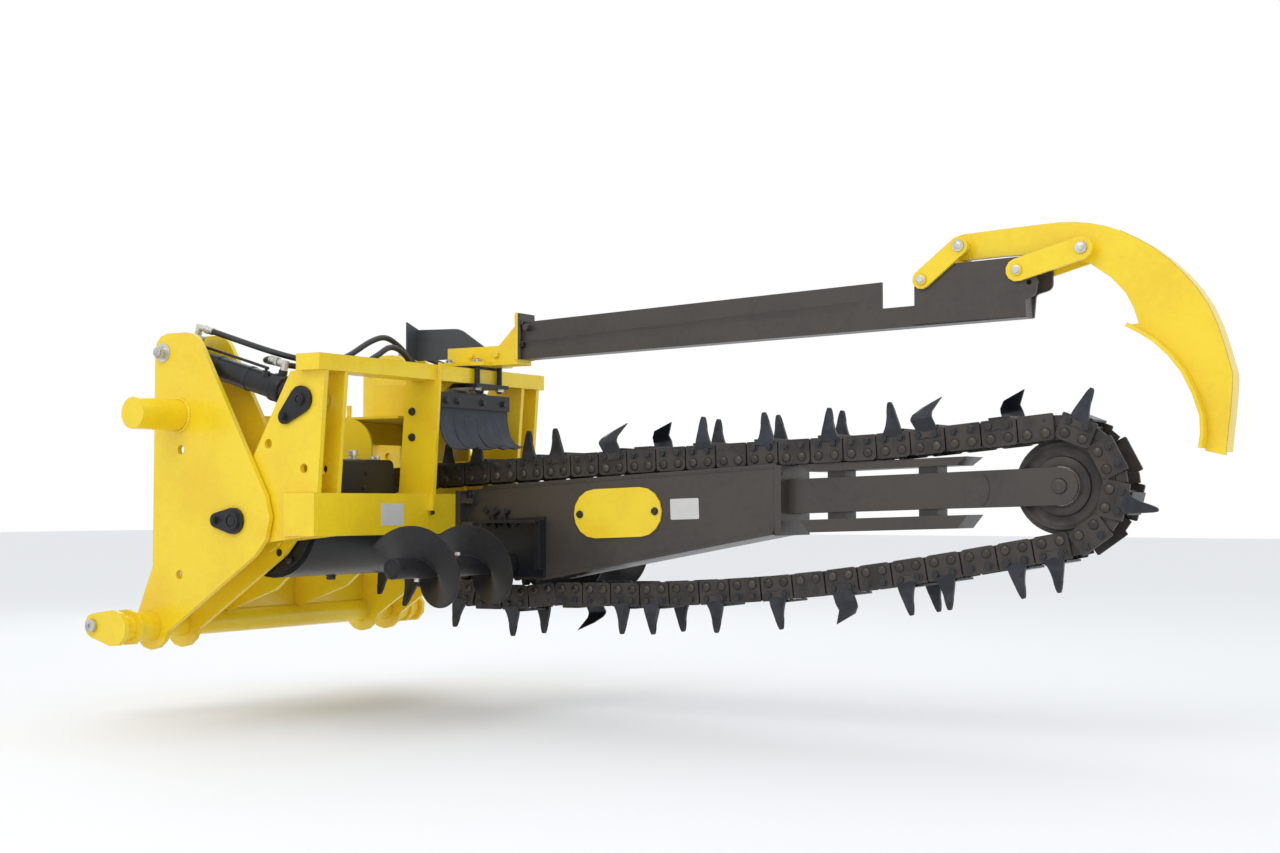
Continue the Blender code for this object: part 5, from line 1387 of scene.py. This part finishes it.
# ---- swing frame
@dataclass
class SwingDetails:
    """Welds, bolts and blank plates on the swing frame, the boom and the trench cleaner's root."""

    # each beam's two limits in x and two in z
    low_beam: tuple[float, float, float, float] = (0.445, 0.564, 0.006, 0.13)
    top_beam: tuple[float, float, float, float] = (0.5, 0.59, 0.48, 0.528)
    plate: float = 0.53
    inner: float = 0.43
    post: float = -0.03
    boom_near: float = 0.144
    post_holes: tuple[float, ...] = (0.385, 0.305)
    flap_bolts: tuple[float, ...] = (0.012, 0.07, 0.2, 0.31)
    pad_bolts: tuple[Flat, ...] = ((0.196, 0.6), (0.196, 0.665), (0.252, 0.6), (0.252, 0.665))
    keeper: Flat = (0.441, 0.347)
    bracket_bolts: tuple[float, ...] = (0.56, 0.66)
    stud: tuple[float, float] = (0.056, 0.059)
    foot_bolts: tuple[float, ...] = (0.66, 0.7, 0.74)
    ribs: tuple[float, ...] = (0.69, 0.735)
    cover_bolts: tuple[Flat, ...] = ((1.014, 0.067), (1.279, 0.077))
    knee: float = 0.873

    def build(self) -> None:
        """Make every detail that swings with the boom."""
        self._welds()
        self._bolts()
        self._boom()
        self._labels()

    def _welds(self) -> None:
        """Beads where plates, beams and posts meet."""
        form = Form()
        x0, x1, z0, z1 = self.low_beam
        t0, t1, b0, b1 = self.top_beam
        for side in (-1, 1):
            out = side * (self.plate + 0.0008)
            form.weld([(x0, out, z0), (x0, out, z1), (x1, out, z1)], 0.0019, 6)
            edge = side * (self.plate + 0.001)
            form.weld([(x1, edge, z0 + 0.003), (x1, edge, z1)], 0.0017, 7)
            form.weld([(t0, out, b0), (t1 - 0.004, out, b0), (t1, out, b1)], 0.0022, 8)
            foot = side * (self.inner + 0.017)
            form.weld([(0.46, foot, z1 + 0.001), (x1 - 0.002, foot, z1 + 0.001)], 0.003, 9)
            form.weld([(t0 + 0.004, foot, b0 - 0.001), (x1 - 0.004, foot, b0 - 0.001)], 0.0026, 10)
        near = self.post - 0.0018
        form.weld([(0.44, near, z1 + 0.001), (0.566, near, z1 + 0.001)], 0.003, 11)
        form.weld([(0.5, near, b0 - 0.001), (0.572, near, b0 - 0.001)], 0.0028, 12)
        form.piece("swing_weld_beads", Finish.YELLOW, "swing")

    def _bolts(self) -> None:
        """Fastenings on the posts, the flap bar, the clamp and the bracket."""
        black, yellow, zinc, keeper = Form(), Form(), Form(), Form()
        for z in self.post_holes:
            black.bolt((0.5, self.post, z), (0, -1, 0), 0.02, 0.01, 8)
        for y in self.flap_bolts:
            black.bolt((0.6, y, 0.42), (1, 0, 0), 0.0185, 0.0095, y * 400)
        black.bolt((0.5735, -0.022, 0.072), (1, 0, 0), 0.012, 0.007)
        arm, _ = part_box("crumber_arm")
        for y, z in self.pad_bolts:
            black.bolt((arm[0] + 0.01, y, z), (1, 0, 0), 0.02, 0.011, z * 500)
        for side in (-1, 1):
            at = at_y(CYLINDER_FOOT, side * 0.5443)
            keeper.collar(at, (0, side, 0), 0.0115, 0.017, 0.003)
            keeper.dome(at, (0, side, 0), 0.0095, 0.003, 24)
            keeper.bolt(at_y(self.keeper, side * 0.5503), (0, side, 0), 0.0135, 0.0055, 20)
        for x in self.bracket_bolts:
            yellow.bolt((x, 0.194, 0.572), (0, -1, 0), 0.0212, 0.0118, x * 300)
        middle = (self.top_beam[0] + self.top_beam[1]) / 2
        for x in (middle - self.stud[0], middle + self.stud[0]):
            for y in (BOOM_PLANE - self.stud[1], BOOM_PLANE + self.stud[1]):
                zinc.bolt((x, y, self.top_beam[2] - 0.0124), (0, 0, -1), 0.025, 0.0095, x * 200)
                zinc.bolt((x, y, 0.5484), (0, 0, 1), 0.025, 0.0095, x * 300)
        black.piece("swing_black_bolts", Finish.BOLT, "swing")
        keeper.piece("rod_pin_keeper_rings", Finish.COOL_BLACK, "swing")
        yellow.piece("bracket_bolts", Finish.YELLOW, "swing")
        zinc.piece("clamp_nuts", Finish.ZINC, "swing")

    def _boom(self) -> None:
        """Bolts, a dark disc of painted hole shade, ribs, wear strips, top rail and seams on the boom."""
        near = self.boom_near
        far = 2 * BOOM_PLANE - near
        bolts, ribs, strips = Form(), Form(), Form()
        for face, side in ((near, -1), (far, 1)):
            bolts.bolt((0.595, face, 0.126), (0, side, 0), 0.026, 0.015, 14)
            for x in self.foot_bolts:
                bolts.bolt((x, face, 0.078), (0, side, 0), 0.02, 0.011, x * 500)
            # a thin dark disc on each face: painted shade standing in for a small hole
            hole_shade_disc = [(0.007, 0.0), (0.007, 0.0012), (0.0045, 0.0016)]
            bolts.turned((0.855, face, 0.056), (0, side, 0), hole_shade_disc, 20)
            for x in self.ribs:
                rib = [(x - 0.019, 0.024), (x + 0.019, 0.024), (x + 0.005, 0.066), (x - 0.005, 0.066)]
                ribs.prism(rib, *sorted((face + side * 0.02, face + side * 0.0002)))
        for x, z in self.cover_bolts:
            bolts.bolt((x, 0.1376, z), (0, -1, 0), 0.0185, 0.009, x * 300)
        for z in (0.046, 0.184):
            for x in (1.682, 1.692):
                bolts.bolt((x, near + 0.002, z), (0, -1, 0), 0.0105, 0.006, z * 900)
        for y0, y1 in ((near - 0.0015, near + 0.014), (far - 0.014, far + 0.0015)):
            line = [(self.knee, -0.1345), (1.67, 0.0172)]
            strip = [(line[0][0], line[0][1] + 0.014), (line[1][0], line[1][1] + 0.014), *line[::-1]]
            strips.prism(strip, y0, y1)
        rail = [(0.64, 0.1455), (1.676, 0.202), (1.676, 0.2125), (0.64, 0.1555)]
        strips.prism(rail, near + 0.004, far - 0.004)
        for y in (near - 0.0008, far + 0.0008):
            strips.weld([(0.64, y, 0.144), (1.672, y, 0.2005)], 0.0016, 15)
        bolts.piece("boom_bolts_and_hole_shade", Finish.BOLT, "swing")
        ribs.piece("boom_ribs", Finish.COOL_BLACK, "swing", bevel=0.001)
        strips.piece("boom_wear_strips", Finish.BOOM_BLACK, "swing", bevel=0.001)

    def _labels(self) -> None:
        """Two blank plates where labels would go."""
        form = Form()
        corners = [(1.33, 0.052, 0.004), (1.426, 0.055, 0.004), (1.424, 0.116, 0.004), (1.328, 0.113, 0.004)]
        form.prism(round_outline(corners), self.boom_near - 0.0007, self.boom_near + 0.0003)
        form.box((self.low_beam[1] - 0.0003, self.low_beam[1] + 0.0007), (-0.253, -0.148), (0.034, 0.1))
        form.piece("blank_label_plates", Finish.BLANK, "swing", angle=30)


@dataclass
class ArmDetails:
    """The strap's seams and the axle's heads on the tension arm."""

    near: float = 0.184

    def build(self) -> None:
        """Make the seams and the axle heads."""
        form = Form()
        for y, side in ((self.near - 0.0005, -1), (2 * BOOM_PLANE - self.near + 0.0005, 1)):
            arc = [(2.276, y, 0.18), (2.291, y, 0.163), (2.296, y, 0.137), (2.29, y, 0.11), (2.278, y, 0.093)]
            form.weld(curve(arc), 0.0014, 21)
        form.piece("strap_weld_lines", Finish.BOOM_BLACK, "tension")
        heads = Form()
        low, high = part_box("nose_axle")
        for y, side in ((low[1], -1), (high[1], 1)):
            heads.dome(at_y(NOSE, y), (0, side, 0), 0.0185, 0.004, 30)
            heads.collar(at_y(NOSE, y), (0, side, 0), 0.0085, 0.0115, 0.0052, 30)
        heads.piece("nose_axle_heads", Finish.BOOM_BLACK, "tension")


# ---- rubber flap
@dataclass
class FlapCurtain:
    """Rubber strips that hang over the chain, slit by hand and curled at the foot."""

    line: tuple[Flat, ...] = (
        (0.5902, 0.432), (0.5902, 0.396), (0.5912, 0.36), (0.6017, 0.312), (0.6257, 0.28), (0.652, 0.2672),
    )
    cuts: tuple[float, ...] = (-0.0132, 0.058, 0.112, 0.176, 0.226, 0.288, 0.3445)
    curls: tuple[float, ...] = (0.1, 0.55, 0.25, 0.95, 0.7, 1.0)  # how far each strip bends out
    thick: float = 0.0052

    def build(self) -> None:
        """Make all strips as one piece."""
        rng = random.Random(11)
        fine = curve(self.line, 5)
        form = Form()
        for low, high, curl in zip(self.cuts, self.cuts[1:], self.curls):
            gap = rng.uniform(0.0012, 0.0038)
            lean = rng.uniform(-0.003, 0.003)
            rows = []
            for k, (x, z) in enumerate(fine):
                t = k / (len(fine) - 1)
                loose = max(0.0, t - 0.25) / 0.75
                front, back = [], []
                for j in range(7):
                    u = j / 6
                    y = low + gap * loose + (high - low - 2 * gap * loose) * u + lean * loose * (1 - loose)
                    belly = (0.5 - math.sin(math.pi * u) * (1 if curl > 0.5 else -1)) * 0.004 * loose
                    reach = x + 0.014 * loose**2 * curl + belly
                    depth = z + 0.012 * loose**2 * curl * (u - 0.3) + 0.01 * loose**3 * curl
                    front.append(Vector((reach + self.thick / 2, y, depth)))
                    back.append(Vector((reach - self.thick / 2, y, depth - self.thick * 0.5 * loose)))
                rows.append(form.ring([*front, *back[::-1]]))
            form.skin(rows)
        form.piece("flap_strips", Finish.FLAP, "swing", ("rubber_flap",), angle=50)


# ---- lift cylinders
@dataclass
class LiftCylinders:
    """The cross hoses, their crimped ends, and the hard line and gland on each barrel."""

    barrel: float = 0.0365
    length: float = 0.449
    hose: float = 0.009
    seat: float = 0.0003  # gap between a hose's end and its elbow
    leg: float = 0.026  # length of an elbow's arm
    line: tuple[float, float] = (0.092, 0.378)  # ends of the hard line along the barrel
    line_out: float = 0.019
    bands: tuple[float, ...] = (0.17, 0.3)
    # each port's distance down the barrel, its elbow's height and the way the elbow points
    ports: dict[str, tuple[float, float, int]] = field(
        default_factory=lambda: {"cap": (0.055, 0.062, 1), "rod": (0.425, 0.038, -1)}
    )
    # x, share of the cylinder's y, and z along each hose
    routes: dict[str, tuple[Point, ...]] = field(
        default_factory=lambda: {
            "cap": (
                (0.2, 0.985, 0.585), (0.3, 0.955, 0.553), (0.372, 0.87, 0.53),
                (0.396, 0.69, 0.524), (0.402, 0.48, 0.545), (0.405, 0.25, 0.6),
                (0.405, 0.1, 0.618), (0.405, -0.04, 0.596), (0.404, -0.2, 0.546),
                (0.398, -0.4, 0.522), (0.39, -0.69, 0.52), (0.372, -0.87, 0.53),
                (0.3, -0.955, 0.553), (0.2, -0.985, 0.585),
            ),
            "rod": (
                (0.296, 0.965, 0.524), (0.304, 0.915, 0.519), (0.34, 0.85, 0.51),
                (0.41, 0.69, 0.5), (0.43, 0.48, 0.506), (0.434, 0.27, 0.552),
                (0.434, 0.12, 0.586), (0.434, -0.01, 0.572), (0.432, -0.16, 0.52),
                (0.425, -0.4, 0.498), (0.405, -0.69, 0.5), (0.34, -0.85, 0.51),
                (0.304, -0.915, 0.519), (0.296, -0.965, 0.524),
            ),
        }
    )

    def __post_init__(self) -> None:
        """Work out the cylinder's own directions."""
        self.top = Vector(at_y(CYLINDER_TOP, 0))
        self.along = (Vector(at_y(CYLINDER_FOOT, 0)) - self.top).normalized()
        self.rise = Vector((-self.along.z, 0, self.along.x))

    def _spot(self, side: int, distance: float, rise: float = 0.0, out: float = 0.0) -> Point:
        """A point beside a cylinder's axis.

        Args:
            side: -1 for the left cylinder, 1 for the right one.
            distance: how far down the cylinder.
            rise: how far above its axis.
            out: how far outward.

        Returns:
            The point.
        """
        at = self.top + self.along * distance + self.rise * rise
        return (at.x, side * (CYLINDER_Y + out), at.z)

    def _route(self, name: str) -> list[Point]:
        """A hose's centreline from the left elbow to the right one.

        Args:
            name: the hose's port.

        Returns:
            Its points.
        """
        place, elbow, heading = self.ports[name]
        start = self.top + self.along * (place + heading * self.leg) + self.rise * (self.barrel + elbow)
        start += self.along * heading * self.seat
        way = self.along * heading
        straight = [start + way * 0.034, start + way * 0.012, start]
        rough = [(p.x, 1.0, p.z) for p in reversed(straight)]
        rough += [*self.routes[name], *[(p.x, -1.0, p.z) for p in straight]]
        return curve([(x, -share * CYLINDER_Y, z) for x, share, z in rough], 6)

    def _hose(self, name: str) -> None:
        """One cross hose as a cord, with ferrules and nuts at both ends.

        Args:
            name: the hose's port.
        """
        points = self._route(name)
        data = bpy.data.curves.new(f"{name}_cross_hose", "CURVE")
        data.dimensions = "3D"
        data.bevel_depth = self.hose
        data.bevel_resolution = 4
        data.use_fill_caps = True
        spline = data.splines.new("POLY")
        spline.points.add(len(points) - 1)
        for knot, point in zip(spline.points, points):
            knot.co = (*point, 1.0)
        data.materials.append(Finish.HOSE.made())
        made = place(data.name, data)
        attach(made, "left_barrel")
        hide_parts(f"{name}_side_hose")
        ends = Form()
        for line in (points, points[::-1]):
            at = Vector(line[0])
            way = (Vector(line[4]) - at).normalized()
            crimp = [
                (0.0098, 0.009), (0.0116, 0.0105), (0.0116, 0.016), (0.0108, 0.018), (0.0116, 0.02),
                (0.0116, 0.026), (0.0108, 0.028), (0.0114, 0.03), (0.011, 0.0335), (0.0094, 0.0345),
            ]
            nut = [(0.0125, 0.0006), (0.0138, 0.0018), (0.0138, 0.009), (0.0125, 0.0102)]
            ends.turned(at, way, crimp, 24)
            ends.turned(at, way, nut, 6)
        fittings = ends.piece(f"{name}_hose_ends", Finish.ZINC, "left_barrel")
        length = sum((Vector(b) - Vector(a)).length for a, b in zip(points, points[1:]))
        LOG.info("%s is %.3f m long", made.name, length)
        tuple(points[0])

    def build(self) -> None:
        """Make the hoses and dress both barrels."""
        for name in self.ports:
            self._hose(name)
        for name, side in (("left", -1), ("right", 1)):
            self._dress(name, side)

    def _dress(self, name: str, side: int) -> None:
        """Everything that sits on one barrel: plugged tee, gland, hard line, bands and wiper.

        Args:
            name: the cylinder's name.
            side: -1 for the left cylinder, 1 for the right one.
        """
        tee, gland, bands, lip = Form(), Form(), Form(), Form()
        head = self._spot(side, self.line[0], self.barrel + 0.004, self.line_out)
        base = [(0.0125, 0.0), (0.0135, 0.0015), (0.0135, 0.0105), (0.0122, 0.012)]
        neck = [(0.0088, 0.011), (0.0098, 0.013), (0.0098, 0.026), (0.009, 0.028)]
        plug = [(0.0108, 0.027), (0.0118, 0.0285), (0.0118, 0.0365), (0.0104, 0.038)]
        for profile, sides, turn in ((base, 6, 0), (neck, 20, 0), (plug, 6, 20)):
            tee.turned(head, self.rise, profile, sides, turn)
        nut = [
            (0.0372, 0.0), (0.0418, 0.003), (0.0418, 0.014), (0.0402, 0.016), (0.0402, 0.021),
            (0.0418, 0.023), (0.0418, 0.042), (0.04, 0.0455), (0.0262, 0.046),
        ]
        cap = [(0.03, 0.0), (0.0372, 0.004), (0.038, 0.01), (0.0366, 0.016)]
        gland.turned(self._spot(side, self.length - 0.046), self.along, nut, 44)
        gland.turned(self._spot(side, 0.016), self.along, cap, 44)
        start, end = self.line
        foot = self.barrel + 0.006
        bends = ((start, -0.016), (start + 0.004, 0.004), (start + 0.02, 0.007))
        bends += ((end - 0.018, 0.007), (end - 0.004, 0.004), (end, -0.016))
        pipe = [self._spot(side, distance, foot + rise, self.line_out) for distance, rise in bends]
        gland.tube(curve(pipe, 4), 0.0045, 10)
        for distance in self.line:
            low = self._spot(side, distance, self.barrel - 0.014, self.line_out)
            gland.turned(low, self.rise, [(0.0115, 0.0), (0.0115, 0.016), (0.0095, 0.0185)], 6)
        inner, outer = self.barrel + 0.0002, self.barrel + 0.0016
        band = [(inner, 0.0), (outer, 0.0012), (outer, 0.0108), (inner, 0.012)]
        for distance in self.bands:
            bands.turned(self._spot(side, distance), self.along, band, 44)
        wiper = [(0.0262, 0.0), (0.03, 0.0), (0.0292, 0.0035), (0.0262, 0.0045)]
        lip.turned(self._spot(side, self.length + 0.0005), self.along, wiper, 40)
        for form, what, finish in (
            (tee, "cap_port_plug", Finish.ZINC), (gland, "cylinder_gland", Finish.COOL_BLACK),
            (bands, "cylinder_bands", Finish.BOLT), (lip, "cylinder_wiper", Finish.FLAP),
        ):
            form.piece(f"{name}_{what}", finish, f"{name}_barrel")


# ---- trench cleaner
@dataclass
class TrenchCleaner:
    """Pin heads and seams of the trench cleaner's arm, links and shoe."""

    front_foot: Flat = (2.106, 0.713)
    rear_foot: Flat = (2.378, 0.721)
    seam: tuple[Point, Point] = ((0.76, 0.1808, 0.606), (1.905, 0.1808, 0.664))

    def build(self) -> None:
        """Make the fastenings of the linkage."""
        for name, foot in (("front", self.front_foot), ("rear", self.rear_foot)):
            heads, pivots = Form(), Form()
            low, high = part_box(f"{name}_shoe_pin")
            middle = ((low[0] + high[0]) / 2, (low[2] + high[2]) / 2)
            for y, side in ((low[1], -1), (high[1], 1)):
                heads.bolt(at_y(middle, y), (0, side, 0), 0.019, 0.003, 15)
            heads.piece(f"{name}_link_pin_heads", Finish.ZINC, "crumber_shoe")
            low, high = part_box(f"{name}_links")
            for y, side in ((low[1], -1), (high[1], 1)):
                pivots.bolt(at_y(foot, y), (0, side, 0), 0.019, 0.006, 25)
            pivots.piece(f"{name}_link_foot_heads", Finish.ZINC, f"{name}_links")
        seams = Form()
        seams.weld(self.seam, 0.0016, 31)
        seams.piece("cleaner_arm_seam", Finish.BOOM_BLACK, "swing")


# ---- studio
@dataclass
class Studio:
    """Pale floor, soft lamps and the camera."""

    eye: Point = (4.0, -4.351, 0.098)
    tilt: float = 92.5
    heading: float = 31.7
    aim: Point = (1.2, 0.1, 0.2)
    sky: float = 0.9
    reach: float = 30.0

    def build(self) -> None:
        """Set up floor, lamps, world and camera."""
        self._floor()
        self._world()
        for name, at, size, power, tint in (
            ("key", (1.2, -4.6, 4.2), 3.2, 74.0, (1.0, 0.985, 0.96)),
            ("fill", (5.6, -2.4, 1.6), 3.0, 16.0, (0.95, 0.97, 1.0)),
            ("top", (1.0, 1.0, 4.6), 4.0, 30.0, (0.9, 0.95, 1.0)),
            ("back", (-3.0, 3.4, 3.0), 3.0, 30.0, (0.95, 0.97, 1.0)),
        ):
            self._lamp(name, at, size, power, tint)
        camera = place("camera", bpy.data.cameras.new("camera"))
        camera.data.lens = 50.0
        camera.data.sensor_width = 36.0
        camera.location = self.eye
        camera.rotation_euler = (math.radians(self.tilt), 0.0, math.radians(self.heading))
        bpy.context.scene.camera = camera
        bpy.context.scene.view_settings.view_transform = "Standard"

    def _lamp(self, name: str, at: Point, size: float, power: float, tint: Colour) -> None:
        """One square soft lamp aimed at the machine.

        Args:
            name: the lamp's name.
            at: its place.
            size: its side.
            power: its power in watts.
            tint: its colour.
        """
        data = bpy.data.lights.new(name, "AREA")
        data.shape = "SQUARE"
        data.size = size
        data.energy = power
        data.color = tint
        lamp = place(name, data)
        lamp.location = at
        lamp.rotation_euler = (Vector(self.aim) - Vector(at)).to_track_quat("-Z", "Y").to_euler()

    def _world(self) -> None:
        """A white backdrop for the camera and a mild pale light for the rest."""
        world = bpy.data.worlds.new("studio")
        world.use_nodes = True
        g = Graph(world.node_tree)
        path = g.node("ShaderNodeLightPath").outputs
        seen = Signal(g, path["Is Camera Ray"]).larger(Signal(g, path["Is Transmission Ray"]))
        seen = seen.larger(Signal(g, path["Is Glossy Ray"]))
        glow = "ShaderNodeBackground"
        soft = g.node(glow, None, {"Color": (0.93, 0.96, 1.0, 1.0), "Strength": self.sky}).outputs[0]
        white = g.node(glow, None, {"Color": (1.0, 1.0, 1.0, 1.0), "Strength": 1.0}).outputs[0]
        mix = g.node("ShaderNodeMixShader", None, {0: seen, 1: soft, 2: white}).outputs[0]
        g.node("ShaderNodeOutputWorld", None, {0: mix})
        bpy.context.scene.world = world

    def _floor(self) -> None:
        """A wide pale floor under the machine."""
        form = bmesh.new()
        corners = ((-1, -1), (1, -1), (1, 1), (-1, 1))
        form.faces.new([form.verts.new((x * self.reach, y * self.reach, GROUND)) for x, y in corners])
        mesh = bpy.data.meshes.new("floor")
        form.to_mesh(mesh)
        form.free()
        g = Surface("pale_floor")
        tone = g.colour(g.noise(0.6, 2.0) * 0.2, (0.9, 0.9, 0.9), (0.86, 0.86, 0.86))
        mesh.materials.append(g.close(tone, 0.7))
        place("floor", mesh)


def main() -> None:
    """Load the frame, dress it and add every detail."""
    logging.basicConfig(level=logging.INFO, format="%(name)s: %(message)s")
    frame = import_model()
    Dresser(frame["nodes"]).all_nodes()
    for part in (
        Studio, LiftCylinders, HitchDetails, SwingDetails, ArmDetails, FlapCurtain, DiggingChain, NoseWheel,
        SpoilAugers, TrenchCleaner,
    ):
        part().build()


if __name__ == "__main__":
    main()
